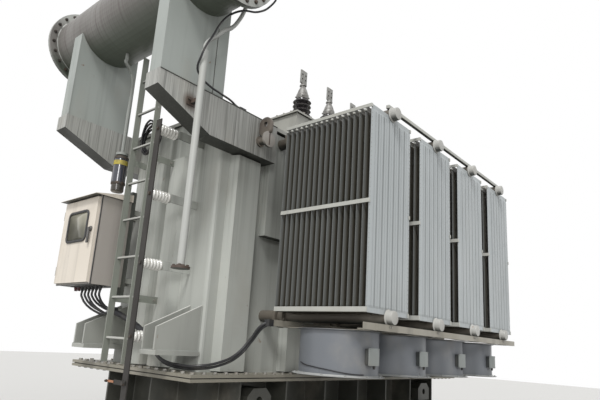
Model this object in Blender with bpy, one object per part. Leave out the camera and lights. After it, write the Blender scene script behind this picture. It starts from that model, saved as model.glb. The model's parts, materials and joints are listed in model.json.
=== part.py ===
"""Oil-filled power transformer with a bolted bell tank, conservator, panel radiators and fans.

Metres, +Z up. The origin is the centre of the tank's underside. +X runs along the tank,
away from the conservator, and the radiators stand on the -Y side.
"""
import math

import bmesh
import bpy
from mathutils import Matrix, Vector

# Fits
SEAT_GAP = 0.0003            # between two pieces that touch
OVERRUN = 0.004              # how far a fused or cutting shape passes the face it meets
RUNNING_GAP = 0.006          # round the cabinet door, which swings
MERGE_DISTANCE = 0.00001

# Plates of the tank
BASE_PLATE_THICK = 0.030
LOWER_TANK_HEIGHT = 0.454    # ground to the underside of the lower flange
LOWER_TANK_INSET = 0.060     # lower walls behind the upper ones
FLANGE_THICK = 0.020
GASKET_THICK = 0.006
GASKET_INSET = 0.014
TANK_HALF_LENGTH = 1.70
TANK_HALF_WIDTH = 0.55
TANK_WALL_HEIGHT = 1.90      # upper flange to the cover
TANK_CORNER_RADIUS = 0.030
FLANGE_END_LEDGE = 0.22      # flange beyond the end walls
FLANGE_SIDE_LEDGE = 0.205    # flange beyond the long walls
COVER_THICK = 0.030
COVER_LEDGE = 0.025

# Pressed stiffeners on the walls
STIFFENER_DEPTH = 0.070
SIDE_STIFFENER_FACE = 0.225
STIFFENER_SLOPE = 0.030      # how far a stiffener's sides spread to the wall
END_STIFFENER_FACE = 0.165
END_STIFFENER_PITCH = 0.27
STIFFENER_END_CLEARANCE = 0.010

# Gusset ribs and tow lugs under the flange
RIB_THICK = 0.016
RIB_PITCH = 0.48
RIB_COUNT = 7
RIB_SETBACK = 0.050          # ribs behind the flange's edge
TOW_LUG_LENGTH = 0.24
TOW_LUG_HEIGHT = 0.17
TOW_LUG_BEVEL = 0.055
TOW_LUG_HOLE_RADIUS = 0.030
TOW_LUG_PLACE = 1.25         # along X from the middle

# Low-voltage pocket on the radiator side and turret on the cover
POCKET_HALF_LENGTH = 1.24
POCKET_HEIGHT = 0.86
POCKET_TOP_GAP = 0.012
TURRET_NEAR_END = -0.96
TURRET_LENGTH = 1.26
TURRET_WIDTH = 0.30
TURRET_HEIGHT = 0.245
TURRET_LID_THICK = 0.016
TURRET_LID_LEDGE = 0.018

# Low-voltage bushings
LV_BUSHING_COUNT = 3
LV_BUSHING_PITCH = 0.404
LV_SHED_COUNT = 5
LV_SHED_PITCH = 0.044
LV_SHED_RADIUS = 0.085
LV_CORE_RADIUS = 0.052
LV_FOOT_RADIUS = 0.100
LV_FOOT_HEIGHT = 0.018
LV_CAP_RADIUS = 0.058
LV_CAP_HEIGHT = 0.125
LV_STUD_RADIUS = 0.024
LV_STUD_HEIGHT = 0.040
LV_PALM_WIDTH = 0.085
LV_PALM_THICK = 0.014
LV_PALM_HEIGHT = 0.135
LV_PALM_HOLE_RADIUS = 0.0075
LV_PALM_HOLE_PITCH = 0.045
BUSHING_SIDES = 14
SHED_LIP_SHARE = 0.30        # height of a shed's edge in its pitch
SHED_ROOT_SHARE = 0.80       # height where the shed meets the core again

# Blanked high-voltage turrets on the far side of the cover
HV_TURRET_COUNT = 3
HV_TURRET_PITCH = 0.78
HV_TURRET_RADIUS = 0.19
HV_TURRET_HEIGHT = 0.20
HV_TURRET_FLANGE = 0.045
HV_TURRET_LID_THICK = 0.022
HV_TURRET_INSET = 0.28       # centre behind the long wall
TURRET_SIDES = 24

# Conservator and its brackets
BEAM_THICK = 0.150           # across the beam, along Y
BEAM_DEPTH = 0.306
BEAM_TIP_DEPTH = 0.113
BEAM_REACH = 0.68            # beyond the end wall
BEAM_OVERLAP = 0.43          # along the long wall
BEAM_TAPER = 0.45            # length of the tapered tip
BEAM_TOP_GAP = 0.002         # below the cover
COLUMN_LENGTH = 0.53
COLUMN_TIP_GAP = 0.012
COLUMN_LEDGE = 0.012         # column behind the beam's outer face
SADDLE_WRAP = 0.16           # how high the saddle clasps the shell
CONSERVATOR_RADIUS = 0.28
CONSERVATOR_RISE = 0.85      # beam top to the shell's axis
CONSERVATOR_HALF_LENGTH = 1.03
END_FLANGE_RADIUS = 0.345
END_FLANGE_THICK = 0.018
END_COVER_THICK = 0.022
CONSERVATOR_SIDES = 48

# Panel radiators
RADIATOR_COUNT = 4
RADIATOR_PITCH = 0.672
RADIATOR_MIDDLE = -0.116     # middle of the row along X
PANEL_WIDTH = 0.52
PANEL_HEIGHT = 1.36
PANEL_THICK = 0.011
PANEL_PITCH = 0.0462
PANEL_COUNT = 17
PANEL_EDGE = 0.018           # length of a panel's pinched edge
RADIATOR_STANDOFF = 0.30     # long wall to the innermost panel
HEADER_RADIUS = 0.044
HEADER_CAP_REACH = 0.055     # header beyond the outermost panel
HEADER_SPAN = 1.392
HEADER_INSET = 0.016         # header axis outside the panel's end
HEADER_FLANGE_RADIUS = 0.085
HEADER_FLANGE_THICK = 0.022
BOTTOM_HEADER_LEVEL = 0.921
HEADER_SIDES = 10
VALVE_RADIUS = 0.060
VALVE_LENGTH = 0.070
STRAP_HEIGHT = 0.040
STRAP_THICK = 0.006
STRAP_HOOK = 0.012           # how far a strap laps round the end panels
STRAP_LEVEL_SHARE = 0.515    # height of the side strap on the panel
BOTTOM_STRAP_HEIGHT = 0.036

# Fans under the radiators
FAN_RADIUS = 0.2655
FAN_WALL = 0.004
FAN_HEIGHT = 0.29
FAN_TOP_GAP = 0.105          # panel ends to the shroud's top
FAN_MOUTH_RADIUS = 0.307
FAN_RIM_THICK = 0.006
FAN_RIM_WIDTH = 0.022
FAN_SIDES = 24
FAN_MOTOR_RADIUS = 0.065
FAN_MOTOR_LENGTH = 0.150
FAN_ARM_WIDTH = 0.022
FAN_ARM_HEIGHT = 0.030
FAN_HUB_RADIUS = 0.070
FAN_HUB_HEIGHT = 0.060
FAN_BLADE_COUNT = 6
FAN_BLADE_GAP = 0.012
FAN_BLADE_THICK = 0.004
FAN_BLADE_CHORD = 0.120
FAN_BLADE_PITCH_DEG = 32.0
FAN_BOX_WIDTH = 0.070
FAN_BOX_DEPTH = 0.060
FAN_BOX_HEIGHT = 0.100
FAN_BOX_ANGLE_DEG = -52.0
RAIL_SIZE = 0.042
RAIL_THICK = 0.005
RAIL_HANGER_WIDTH = 0.040
CROSS_FLAT_SHARE = 0.55      # place of the cross flats over a fan's radius

# Ladder on the end wall
LADDER_STANDOFF = 0.30       # wall to the front edge of the stiles
LADDER_STILE_DEPTH = 0.050
LADDER_STILE_THICK = 0.008
LADDER_WIDTH = 0.27
LADDER_PLACE = -0.09         # near stile along Y
LADDER_FOOT = 0.52
LADDER_TOP = 2.96
RUNG_RADIUS = 0.010
RUNG_PITCH = 0.293
RUNG_FIRST = 0.17            # above the ladder's foot
LADDER_LUG_WIDTH = 0.050
LADDER_LUG_THICK = 0.008
LADDER_LUG_LEVELS = (0.95, 2.02)

# Control cabinet
CABINET_FRONT = -2.15
CABINET_DEPTH = 0.25
CABINET_NEAR = 0.23
CABINET_WIDTH = 0.53
CABINET_FOOT = 1.065
CABINET_HEIGHT = 0.67
CABINET_WALL = 0.003
CABINET_RIM = 0.028          # flange round the mouth that the door closes on
DOOR_THICK = 0.022
DOOR_LIP = 0.010             # door edge inside the cabinet's edge
WINDOW_WIDTH = 0.17
WINDOW_HEIGHT = 0.16
WINDOW_THICK = 0.004
WINDOW_FRAME = 0.014
WINDOW_FROM_HINGE = 0.10
WINDOW_FROM_TOP = 0.11
HOOD_THICK = 0.003
HOOD_LEDGE = 0.040
HOOD_RISE = 0.060
HANDLE_LENGTH = 0.11
HANDLE_WIDTH = 0.022
HANDLE_THICK = 0.014
HANDLE_BOSS_RADIUS = 0.020
HANDLE_STANDOFF = 0.012
HANDLE_FROM_EDGE = 0.055
HANDLE_FROM_TOP = 0.26
BRACKET_BAR = 0.040
HINGE_RADIUS = 0.007

# Jacking brackets, two on each end wall
JACK_REACH = 0.35
JACK_PLATE_THICK = 0.030
JACK_PLATE_WIDTH = 0.18
JACK_LEVEL = 0.605           # underside of the bracket
JACK_GUSSET_THICK = 0.016
JACK_GUSSET_SPACING = 0.13
JACK_TIP_HEIGHT = 0.146
JACK_ROOT_HEIGHT = 0.31
JACK_PLACE = 0.455           # bracket centre along Y

# Earthing bar on post insulators
BAR_STANDOFF = 0.39          # end wall to the bar
BAR_WIDTH = 0.060
BAR_THICK = 0.008
BAR_PLACE = -0.32
BAR_TOP = 2.24
BAR_FOOT = 0.020
POST_COUNT = 4
POST_PITCH = 0.486
POST_TOP_LEVEL = 2.17
POST_RADIUS = 0.040
POST_CORE_RADIUS = 0.031
POST_SHED_COUNT = 6
POST_RIB_SHARE = 0.5         # place of a rib's crest in its pitch
POST_SIDES = 14
POST_LENGTH = 0.150
POST_BRACKET_WIDTH = 0.060
POST_BRACKET_THICK = 0.008

# Pipes
DOWNPIPE_RADIUS = 0.0275
DOWNPIPE_GAP = 0.058         # beam face to the pipe
DOWNPIPE_PLACE = -2.11
DOWNPIPE_FOOT = 1.13
DOWNPIPE_TOP = 2.62
DOWNPIPE_FLANGE_RADIUS = 0.070
DOWNPIPE_FLANGE_THICK = 0.014
OIL_PIPE_RADIUS = 0.038
OIL_PIPE_PLACE = -0.25
BREATHER_PIPE_RADIUS = 0.014
BREATHER_RADIUS = 0.080
BREATHER_HEIGHT = 0.30
BREATHER_X = -2.02
BREATHER_Y = 0.27
BREATHER_FOOT = 1.80
PIPE_SIDES = 20
STRAIGHT_SHARES = (1 / 3, 2 / 3)   # extra knots that keep a pipe's end runs straight

# Levels that follow from the sizes above
FLANGE_FOOT = LOWER_TANK_HEIGHT + SEAT_GAP
GASKET_FOOT = FLANGE_FOOT + FLANGE_THICK + SEAT_GAP
UPPER_FLANGE_FOOT = GASKET_FOOT + GASKET_THICK + SEAT_GAP
TANK_FOOT = UPPER_FLANGE_FOOT + FLANGE_THICK + SEAT_GAP
TANK_TOP = TANK_FOOT + TANK_WALL_HEIGHT
COVER_FOOT = TANK_TOP + SEAT_GAP
COVER_TOP = COVER_FOOT + COVER_THICK
FLANGE_HALF_LENGTH = TANK_HALF_LENGTH + FLANGE_END_LEDGE
FLANGE_HALF_WIDTH = TANK_HALF_WIDTH + FLANGE_SIDE_LEDGE
BEAM_TOP = TANK_TOP - BEAM_TOP_GAP
BEAM_FOOT = BEAM_TOP - BEAM_DEPTH
BEAM_TIP = -TANK_HALF_LENGTH - BEAM_REACH
CONSERVATOR_X = BEAM_TIP + COLUMN_TIP_GAP + COLUMN_LENGTH / 2
CONSERVATOR_LEVEL = BEAM_TOP + CONSERVATOR_RISE
RADIATOR_INNER = -(TANK_HALF_WIDTH + STIFFENER_DEPTH + RADIATOR_STANDOFF)
RADIATOR_OUTER = RADIATOR_INNER - PANEL_PITCH * (PANEL_COUNT - 1)
TOP_HEADER_LEVEL = BOTTOM_HEADER_LEVEL + HEADER_SPAN
PANEL_FOOT = BOTTOM_HEADER_LEVEL + HEADER_INSET
FAN_Y = (RADIATOR_INNER + RADIATOR_OUTER) / 2
FAN_TOP = PANEL_FOOT - FAN_TOP_GAP
FAN_FOOT = FAN_TOP - FAN_HEIGHT

objects = bpy.data.objects
for old in list(objects):
    objects.remove(old, do_unlink=True)


# Finishes
def finish(name, colour, roughness, metallic=0.0):
    """A plain paint, porcelain, rubber or metal."""
    material = bpy.data.materials.new(name)
    material.use_nodes = True
    shader = material.node_tree.nodes["Principled BSDF"]
    shader.inputs["Base Color"].default_value = (*colour, 1.0)
    shader.inputs["Roughness"].default_value = roughness
    shader.inputs["Metallic"].default_value = metallic
    return material


TANK_PAINT = finish("tank_paint", (0.56, 0.58, 0.56), 0.45)
RADIATOR_PAINT = finish("radiator_paint", (0.50, 0.53, 0.52), 0.42)
FAN_PAINT = finish("fan_paint", (0.42, 0.48, 0.54), 0.40)
CABINET_PAINT = finish("cabinet_paint", (0.72, 0.69, 0.63), 0.45)
DARK_GLAZE = finish("dark_glaze", (0.07, 0.06, 0.06), 0.22)
WHITE_GLAZE = finish("white_glaze", (0.84, 0.83, 0.80), 0.25)
BARE_METAL = finish("bare_metal", (0.62, 0.60, 0.56), 0.38, 0.9)
DARK_STEEL = finish("dark_steel", (0.22, 0.22, 0.23), 0.5, 0.6)
RUBBER = finish("rubber", (0.03, 0.03, 0.035), 0.55)
WINDOW_GLASS = finish("window_glass", (0.20, 0.22, 0.22), 0.10)
SILICA = finish("silica_gel", (0.16, 0.20, 0.34), 0.30)


# Shapes
def mesh_of(bm, name):
    """Turn a finished bmesh into mesh data with its faces pointing out."""
    bmesh.ops.remove_doubles(bm, verts=bm.verts, dist=MERGE_DISTANCE)
    bmesh.ops.recalc_face_normals(bm, faces=bm.faces)
    mesh = bpy.data.meshes.new(name)
    bm.to_mesh(mesh)
    bm.free()
    return mesh


def place(name, mesh, material, parent=None, smooth=False):
    """Put mesh data into the scene as a named sub-part."""
    mesh.materials.clear()
    mesh.materials.append(material)
    if smooth:
        mesh.shade_smooth()
        mesh.set_sharp_from_angle(angle=math.radians(35))
    item = objects.new(name, mesh)
    bpy.context.scene.collection.objects.link(item)
    item.parent = parent
    return item


def block(low, high):
    """A rectangular plate or bar between two corners."""
    bm = bmesh.new()
    size = [b - a for a, b in zip(low, high)]
    middle = [(a + b) / 2 for a, b in zip(low, high)]
    matrix = Matrix.Translation(middle) @ Matrix.Diagonal((*size, 1.0))
    bmesh.ops.create_cube(bm, size=1.0, matrix=matrix)
    return mesh_of(bm, "block")


def prism(outline, axis, start, end):
    """An outline in the two axes after the given one, pushed along that axis from start to end."""
    bm = bmesh.new()
    order = {"X": (1, 2, 0), "Y": (0, 2, 1), "Z": (0, 1, 2)}[axis]
    verts = []
    for a, b in outline:
        point = [0.0, 0.0, 0.0]
        point[order[0]], point[order[1]], point[order[2]] = a, b, start
        verts.append(bm.verts.new(point))
    face = bm.faces.new(verts)
    pushed = bmesh.ops.extrude_face_region(bm, geom=[face])
    step = [0.0, 0.0, 0.0]
    step[order[2]] = end - start
    new = [item for item in pushed["geom"] if isinstance(item, bmesh.types.BMVert)]
    bmesh.ops.translate(bm, verts=new, vec=step)
    return mesh_of(bm, "prism")


def turned(profile, centre, axis="Z", sides=PIPE_SIDES):
    """A closed (radius, height) profile spun about an axis through centre."""
    bm = bmesh.new()
    verts = [bm.verts.new((radius, 0.0, height)) for radius, height in profile]
    edges = [bm.edges.new(pair) for pair in zip(verts, verts[1:])]
    if profile[0][0] > 0 or profile[-1][0] > 0:
        edges.append(bm.edges.new((verts[-1], verts[0])))
    bmesh.ops.spin(bm, geom=edges, cent=(0, 0, 0), axis=(0, 0, 1), steps=sides,
                   angle=math.tau, use_merge=True)
    turn = {"Z": Matrix(), "X": Matrix.Rotation(math.pi / 2, 4, "Y"),
            "Y": Matrix.Rotation(-math.pi / 2, 4, "X")}[axis]
    bmesh.ops.transform(bm, matrix=Matrix.Translation(centre) @ turn, verts=bm.verts)
    return mesh_of(bm, "turned")


def rod(centre, radius, length, axis="Z", sides=PIPE_SIDES):
    """A round bar that starts at centre and runs along +axis."""
    return turned([(0, 0), (radius, 0), (radius, length), (0, length)], centre, axis, sides)


def tube(points, radius, smooth_steps=4, sides_half=2):
    """A pipe or cable along a smooth curve through the points, with closed ends."""
    curve = bpy.data.curves.new("route", "CURVE")
    curve.dimensions = "3D"
    curve.bevel_depth = radius
    curve.bevel_resolution = sides_half
    curve.use_fill_caps = True
    route = smooth_route(points, smooth_steps)
    spline = curve.splines.new("POLY")
    spline.points.add(len(route) - 1)
    for knot, point in zip(spline.points, route):
        knot.co = (*point, 1.0)
    carrier = objects.new("route", curve)
    bpy.context.scene.collection.objects.link(carrier)
    bpy.context.view_layer.update()
    graph = bpy.context.evaluated_depsgraph_get()
    mesh = bpy.data.meshes.new_from_object(carrier.evaluated_get(graph))
    objects.remove(carrier, do_unlink=True)
    bm = bmesh.new()
    bm.from_mesh(mesh)
    return mesh_of(bm, "tube")


def smooth_route(points, steps):
    """Points read from a Catmull-Rom curve through the given ones, straight at both ends."""
    knots = [Vector(p) for p in points]
    lead = [knots[0].lerp(knots[1], share) for share in STRAIGHT_SHARES]
    tail = [knots[-2].lerp(knots[-1], share) for share in STRAIGHT_SHARES]
    knots = knots[:1] + lead + knots[1:-1] + tail + knots[-1:]
    knots = [2 * knots[0] - knots[1]] + knots + [2 * knots[-1] - knots[-2]]
    route = []
    for a, b, c, d in zip(knots, knots[1:], knots[2:], knots[3:]):
        for step in range(steps):
            t = step / steps
            route.append(0.5 * (2 * b + (c - a) * t + (2 * a - 5 * b + 4 * c - d) * t ** 2
                                + (3 * b - a - 3 * c + d) * t ** 3))
    return route + [knots[-2]]


def fused(meshes, cutters=()):
    """Weld overlapping shapes into one body, then cut the cutters out of it."""
    group = bpy.data.collections.new("weld")
    scene = bpy.context.scene.collection
    base = objects.new("base", meshes[0])
    scene.objects.link(base)
    extras = []
    for operation, shapes in (("UNION", meshes[1:]), ("DIFFERENCE", cutters)):
        if not shapes:
            continue
        group = bpy.data.collections.new(operation)
        for shape in shapes:
            extra = objects.new("extra", shape)
            group.objects.link(extra)
            extras.append(extra)
        modifier = base.modifiers.new(operation, "BOOLEAN")
        modifier.operation = operation
        modifier.operand_type = "COLLECTION"
        modifier.collection = group
        modifier.solver = "EXACT"
    bpy.context.view_layer.update()
    graph = bpy.context.evaluated_depsgraph_get()
    mesh = bpy.data.meshes.new_from_object(base.evaluated_get(graph))
    for item in [base] + extras:
        objects.remove(item, do_unlink=True)
    bm = bmesh.new()
    bm.from_mesh(mesh)
    bmesh.ops.dissolve_degenerate(bm, dist=MERGE_DISTANCE, edges=bm.edges)
    bmesh.ops.triangulate(bm, faces=bm.faces)
    return mesh_of(bm, "fused")


def rounded_rectangle(half_x, half_y, radius, steps=3):
    """Corner points of a rectangle with round corners, centred on nothing."""
    points = []
    for corner, (sx, sy) in enumerate(((1, 1), (-1, 1), (-1, -1), (1, -1))):
        for step in range(steps + 1):
            angle = math.pi / 2 * (corner + step / steps)
            points.append((sx * (half_x - radius) + radius * math.cos(angle),
                           sy * (half_y - radius) + radius * math.sin(angle)))
    return points


unit = objects.new("transformer", None)
bpy.context.scene.collection.objects.link(unit)


# Lower tank: a shallow welded tray with ribs and tow lugs, standing on its flat base plate
def build_lower_tank():
    half_length = TANK_HALF_LENGTH - LOWER_TANK_INSET
    half_width = TANK_HALF_WIDTH - LOWER_TANK_INSET
    tray = block((-half_length, -half_width, 0), (half_length, half_width, LOWER_TANK_HEIGHT))
    rib_tip_x = FLANGE_HALF_LENGTH - RIB_SETBACK
    rib_tip_y = FLANGE_HALF_WIDTH - RIB_SETBACK
    foot_plate = block((-rib_tip_x, -rib_tip_y, 0), (rib_tip_x, rib_tip_y, BASE_PLATE_THICK))
    shapes = [tray, foot_plate]
    for index in range(RIB_COUNT):
        x = (index - (RIB_COUNT - 1) / 2) * RIB_PITCH
        shapes.append(block((x - RIB_THICK / 2, -rib_tip_y + OVERRUN, OVERRUN),
                            (x + RIB_THICK / 2, rib_tip_y - OVERRUN, LOWER_TANK_HEIGHT - OVERRUN)))
    for side in (-1, 1):
        y = side * END_STIFFENER_PITCH
        shapes.append(block((-rib_tip_x + OVERRUN, y - RIB_THICK / 2, OVERRUN),
                            (rib_tip_x - OVERRUN, y + RIB_THICK / 2, LOWER_TANK_HEIGHT - OVERRUN)))
    holes = []
    foot = LOWER_TANK_HEIGHT - TOW_LUG_HEIGHT - RIB_SETBACK
    for end in (-1, 1):
        x = end * TOW_LUG_PLACE
        outline = [(x - TOW_LUG_LENGTH / 2, foot), (x + TOW_LUG_LENGTH / 2, foot),
                   (x + TOW_LUG_LENGTH / 2, foot + TOW_LUG_HEIGHT - TOW_LUG_BEVEL),
                   (x + TOW_LUG_LENGTH / 2 - TOW_LUG_BEVEL, foot + TOW_LUG_HEIGHT),
                   (x - TOW_LUG_LENGTH / 2 + TOW_LUG_BEVEL, foot + TOW_LUG_HEIGHT),
                   (x - TOW_LUG_LENGTH / 2, foot + TOW_LUG_HEIGHT - TOW_LUG_BEVEL)]
        for side in (-1, 1):
            root = side * (half_width - OVERRUN)
            shapes.append(prism(outline, "Y", root, side * (FLANGE_HALF_WIDTH - RIB_SETBACK)))
            face = side * (FLANGE_HALF_WIDTH - RIB_SETBACK)
            holes.append(rod((x, face - TOW_LUG_BEVEL, foot + TOW_LUG_HEIGHT / 2), TOW_LUG_HOLE_RADIUS,
                             2 * TOW_LUG_BEVEL, "Y", HEADER_SIDES))
    return fused(shapes, holes)


place("lower_tank", build_lower_tank(), TANK_PAINT, unit)


# Bolted flange pair and the gasket between them
def flange_plate(foot, inset, thick):
    x, y = FLANGE_HALF_LENGTH - inset, FLANGE_HALF_WIDTH - inset
    return block((-x, -y, foot), (x, y, foot + thick))


place("lower_flange", flange_plate(FLANGE_FOOT, 0, FLANGE_THICK), TANK_PAINT, unit)
place("flange_gasket", flange_plate(GASKET_FOOT, GASKET_INSET, GASKET_THICK), RUBBER, unit)
place("upper_flange", flange_plate(UPPER_FLANGE_FOOT, 0, FLANGE_THICK), TANK_PAINT, unit)


# Bell tank: folded walls with pressed stiffeners, the lead pocket and the bar brackets
def stiffener(along, side, axis, face, foot, top):
    """A trapezoid box rib standing on a wall, as an outline pushed upwards."""
    wall = TANK_HALF_WIDTH if axis == "Y" else TANK_HALF_LENGTH
    root = wall - OVERRUN
    tip = wall + STIFFENER_DEPTH
    half = face / 2
    outline = [(along - half - STIFFENER_SLOPE, side * root), (along + half + STIFFENER_SLOPE, side * root),
               (along + half, side * tip), (along - half, side * tip)]
    if axis == "X":
        outline = [(b, a) for a, b in outline]
    return prism(outline, "Z", foot, top)


def side_stiffener_places():
    """Along X: one at each end of the wall and one in each space between two radiators."""
    first = -(TANK_HALF_LENGTH - BEAM_OVERLAP / 2) + STIFFENER_SLOPE
    gaps = [RADIATOR_MIDDLE + (index - (RADIATOR_COUNT - 2) / 2) * RADIATOR_PITCH
            for index in range(RADIATOR_COUNT - 1)]
    return [first] + gaps + [-first]


def post_level(index):
    return POST_TOP_LEVEL - index * POST_PITCH


def build_tank_body():
    corner = rounded_rectangle(TANK_HALF_LENGTH, TANK_HALF_WIDTH, TANK_CORNER_RADIUS)
    shapes = [prism(corner, "Z", TANK_FOOT, TANK_TOP)]
    top = BEAM_FOOT - STIFFENER_END_CLEARANCE
    foot = TANK_FOOT + STIFFENER_END_CLEARANCE
    for side in (-1, 1):
        for along in side_stiffener_places():
            shapes.append(stiffener(along, side, "Y", SIDE_STIFFENER_FACE, foot, top))
        for along in (-END_STIFFENER_PITCH / 2, END_STIFFENER_PITCH / 2):
            shapes.append(stiffener(along, side, "X", END_STIFFENER_FACE, foot, top))
    pocket_top = TANK_TOP - POCKET_TOP_GAP
    shapes.append(block((-POCKET_HALF_LENGTH, -TANK_HALF_WIDTH - STIFFENER_DEPTH, pocket_top - POCKET_HEIGHT),
                        (POCKET_HALF_LENGTH, -TANK_HALF_WIDTH + OVERRUN, pocket_top)))
    post_root = BAR_STANDOFF - POST_LENGTH - SEAT_GAP
    for index in range(POST_COUNT):
        z = post_level(index)
        shapes.append(block((-TANK_HALF_LENGTH - post_root, BAR_PLACE - POST_BRACKET_WIDTH / 2,
                             z - POST_BRACKET_WIDTH / 2),
                            (-TANK_HALF_LENGTH + OVERRUN, BAR_PLACE - POST_BRACKET_WIDTH / 2
                             + POST_BRACKET_THICK, z + POST_BRACKET_WIDTH / 2)))
        shapes.append(block((-TANK_HALF_LENGTH - post_root, BAR_PLACE - POST_BRACKET_WIDTH / 2,
                             z - POST_BRACKET_WIDTH / 2),
                            (-TANK_HALF_LENGTH - post_root + POST_BRACKET_THICK,
                             BAR_PLACE + POST_BRACKET_WIDTH / 2, z + POST_BRACKET_WIDTH / 2)))
    return fused(shapes)


place("tank_body", build_tank_body(), TANK_PAINT, unit)


# Cover plate
def build_cover():
    outline = rounded_rectangle(TANK_HALF_LENGTH + COVER_LEDGE, TANK_HALF_WIDTH + COVER_LEDGE
                                + STIFFENER_DEPTH, TANK_CORNER_RADIUS)
    return prism(outline, "Z", COVER_FOOT, COVER_TOP)


place("tank_cover", build_cover(), TANK_PAINT, unit)


# Low-voltage turret, a welded box on the cover, and its bushings
TURRET_NEAR_Y = -(TANK_HALF_WIDTH + STIFFENER_DEPTH)
TURRET_FOOT = COVER_TOP + SEAT_GAP
TURRET_TOP = TURRET_FOOT + TURRET_HEIGHT + TURRET_LID_THICK


def build_turret():
    far_x = TURRET_NEAR_END + TURRET_LENGTH
    far_y = TURRET_NEAR_Y + TURRET_WIDTH
    shell = block((TURRET_NEAR_END, TURRET_NEAR_Y, TURRET_FOOT),
                  (far_x, far_y, TURRET_FOOT + TURRET_HEIGHT + OVERRUN))
    lid = block((TURRET_NEAR_END - TURRET_LID_LEDGE, TURRET_NEAR_Y - TURRET_LID_LEDGE,
                 TURRET_FOOT + TURRET_HEIGHT),
                (far_x + TURRET_LID_LEDGE, far_y + TURRET_LID_LEDGE, TURRET_TOP))
    return fused([shell, lid])


place("lv_turret", build_turret(), TANK_PAINT, unit)


def shed_profile(core, shed, pitch, count, foot):
    """Radius and height up a stack of drooping sheds."""
    profile = []
    for index in range(count):
        level = foot + index * pitch
        profile += [(core, level), (shed, level + pitch * SHED_LIP_SHARE), (core, level + pitch * SHED_ROOT_SHARE)]
    return profile + [(core, foot + count * pitch)]


def build_lv_bushing(x, y):
    foot = TURRET_TOP + SEAT_GAP
    shed_foot = foot + LV_FOOT_HEIGHT
    cap_foot = shed_foot + LV_SHED_COUNT * LV_SHED_PITCH
    cap_top = cap_foot + LV_CAP_HEIGHT
    profile = [(0, foot), (LV_FOOT_RADIUS, foot), (LV_FOOT_RADIUS, shed_foot)]
    profile += shed_profile(LV_CORE_RADIUS, LV_SHED_RADIUS, LV_SHED_PITCH, LV_SHED_COUNT, shed_foot)
    profile += [(LV_CAP_RADIUS, cap_foot), (LV_CAP_RADIUS, cap_foot + LV_CAP_HEIGHT * 0.35),
                (LV_STUD_RADIUS * 1.5, cap_top - LV_STUD_RADIUS), (LV_STUD_RADIUS, cap_top),
                (LV_STUD_RADIUS, cap_top + LV_STUD_HEIGHT), (0, cap_top + LV_STUD_HEIGHT)]
    body = turned(profile, (x, y, 0), sides=BUSHING_SIDES)
    palm_foot = cap_top + LV_STUD_HEIGHT - OVERRUN
    palm = block((x - LV_PALM_WIDTH / 2, y - LV_PALM_THICK / 2, palm_foot),
                 (x + LV_PALM_WIDTH / 2, y + LV_PALM_THICK / 2, palm_foot + LV_PALM_HEIGHT))
    holes = []
    for row in (-1, 1):
        for column in (-1, 1):
            holes.append(rod((x + column * LV_PALM_HOLE_PITCH / 2, y - LV_PALM_THICK,
                              palm_foot + LV_PALM_HEIGHT / 2 + row * LV_PALM_HOLE_PITCH / 2),
                             LV_PALM_HOLE_RADIUS, 2 * LV_PALM_THICK, "Y", sides=10))
    return fused([body, palm], holes)


LV_BUSHING_Y = TURRET_NEAR_Y + TURRET_WIDTH / 2
for number in range(LV_BUSHING_COUNT):
    bushing_x = (TURRET_NEAR_END + TURRET_LENGTH / 2
                 + (number - (LV_BUSHING_COUNT - 1) / 2) * LV_BUSHING_PITCH)
    place(f"lv_bushing_{number + 1}", build_lv_bushing(bushing_x, LV_BUSHING_Y), DARK_GLAZE, unit, True)


# High-voltage turrets: short flanged necks closed by blank covers
def build_hv_turret(x):
    foot = COVER_TOP + SEAT_GAP
    top = foot + HV_TURRET_HEIGHT
    wide = HV_TURRET_RADIUS + HV_TURRET_FLANGE
    lid = top + HV_TURRET_LID_THICK
    profile = [(0, foot), (wide, foot), (wide, foot + FLANGE_THICK), (HV_TURRET_RADIUS, foot + FLANGE_THICK),
               (HV_TURRET_RADIUS, top - FLANGE_THICK), (wide, top - FLANGE_THICK), (wide, lid), (0, lid)]
    return turned(profile, (x, TANK_HALF_WIDTH - HV_TURRET_INSET, 0), sides=TURRET_SIDES)


for number in range(HV_TURRET_COUNT):
    turret_x = (number - (HV_TURRET_COUNT - 1) / 2) * HV_TURRET_PITCH
    place(f"hv_turret_{number + 1}", build_hv_turret(turret_x), TANK_PAINT, unit, True)


# Conservator brackets: tapered box beams welded to the long walls
def build_beam(side):
    tail = -TANK_HALF_LENGTH + BEAM_OVERLAP
    outline = [(BEAM_TIP, BEAM_TOP - BEAM_TIP_DEPTH), (BEAM_TIP + BEAM_TAPER, BEAM_FOOT),
               (tail, BEAM_FOOT), (tail, BEAM_TOP), (BEAM_TIP, BEAM_TOP)]
    inner = side * (TANK_HALF_WIDTH + SEAT_GAP)
    return prism(outline, "Y", inner, inner + side * BEAM_THICK)


# Columns with saddles that carry the conservator on the beams
def build_column(side):
    near = BEAM_TIP + COLUMN_TIP_GAP
    inner = side * (TANK_HALF_WIDTH + SEAT_GAP + COLUMN_LEDGE)
    outer = side * (TANK_HALF_WIDTH + BEAM_THICK - COLUMN_LEDGE)
    foot = BEAM_TOP + SEAT_GAP
    post = block((near, min(inner, outer), foot),
                 (near + COLUMN_LENGTH, max(inner, outer), CONSERVATOR_LEVEL - CONSERVATOR_RADIUS + SADDLE_WRAP))
    saddle = rod((CONSERVATOR_X, -CONSERVATOR_HALF_LENGTH, CONSERVATOR_LEVEL),
                 CONSERVATOR_RADIUS + SEAT_GAP, 2 * CONSERVATOR_HALF_LENGTH, "Y", CONSERVATOR_SIDES)
    return fused([post], [saddle])


for side, word in ((-1, "near"), (1, "far")):
    place(f"conservator_bracket_{word}", build_beam(side), TANK_PAINT, unit)
    place(f"conservator_support_{word}", build_column(side), TANK_PAINT, unit)


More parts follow.
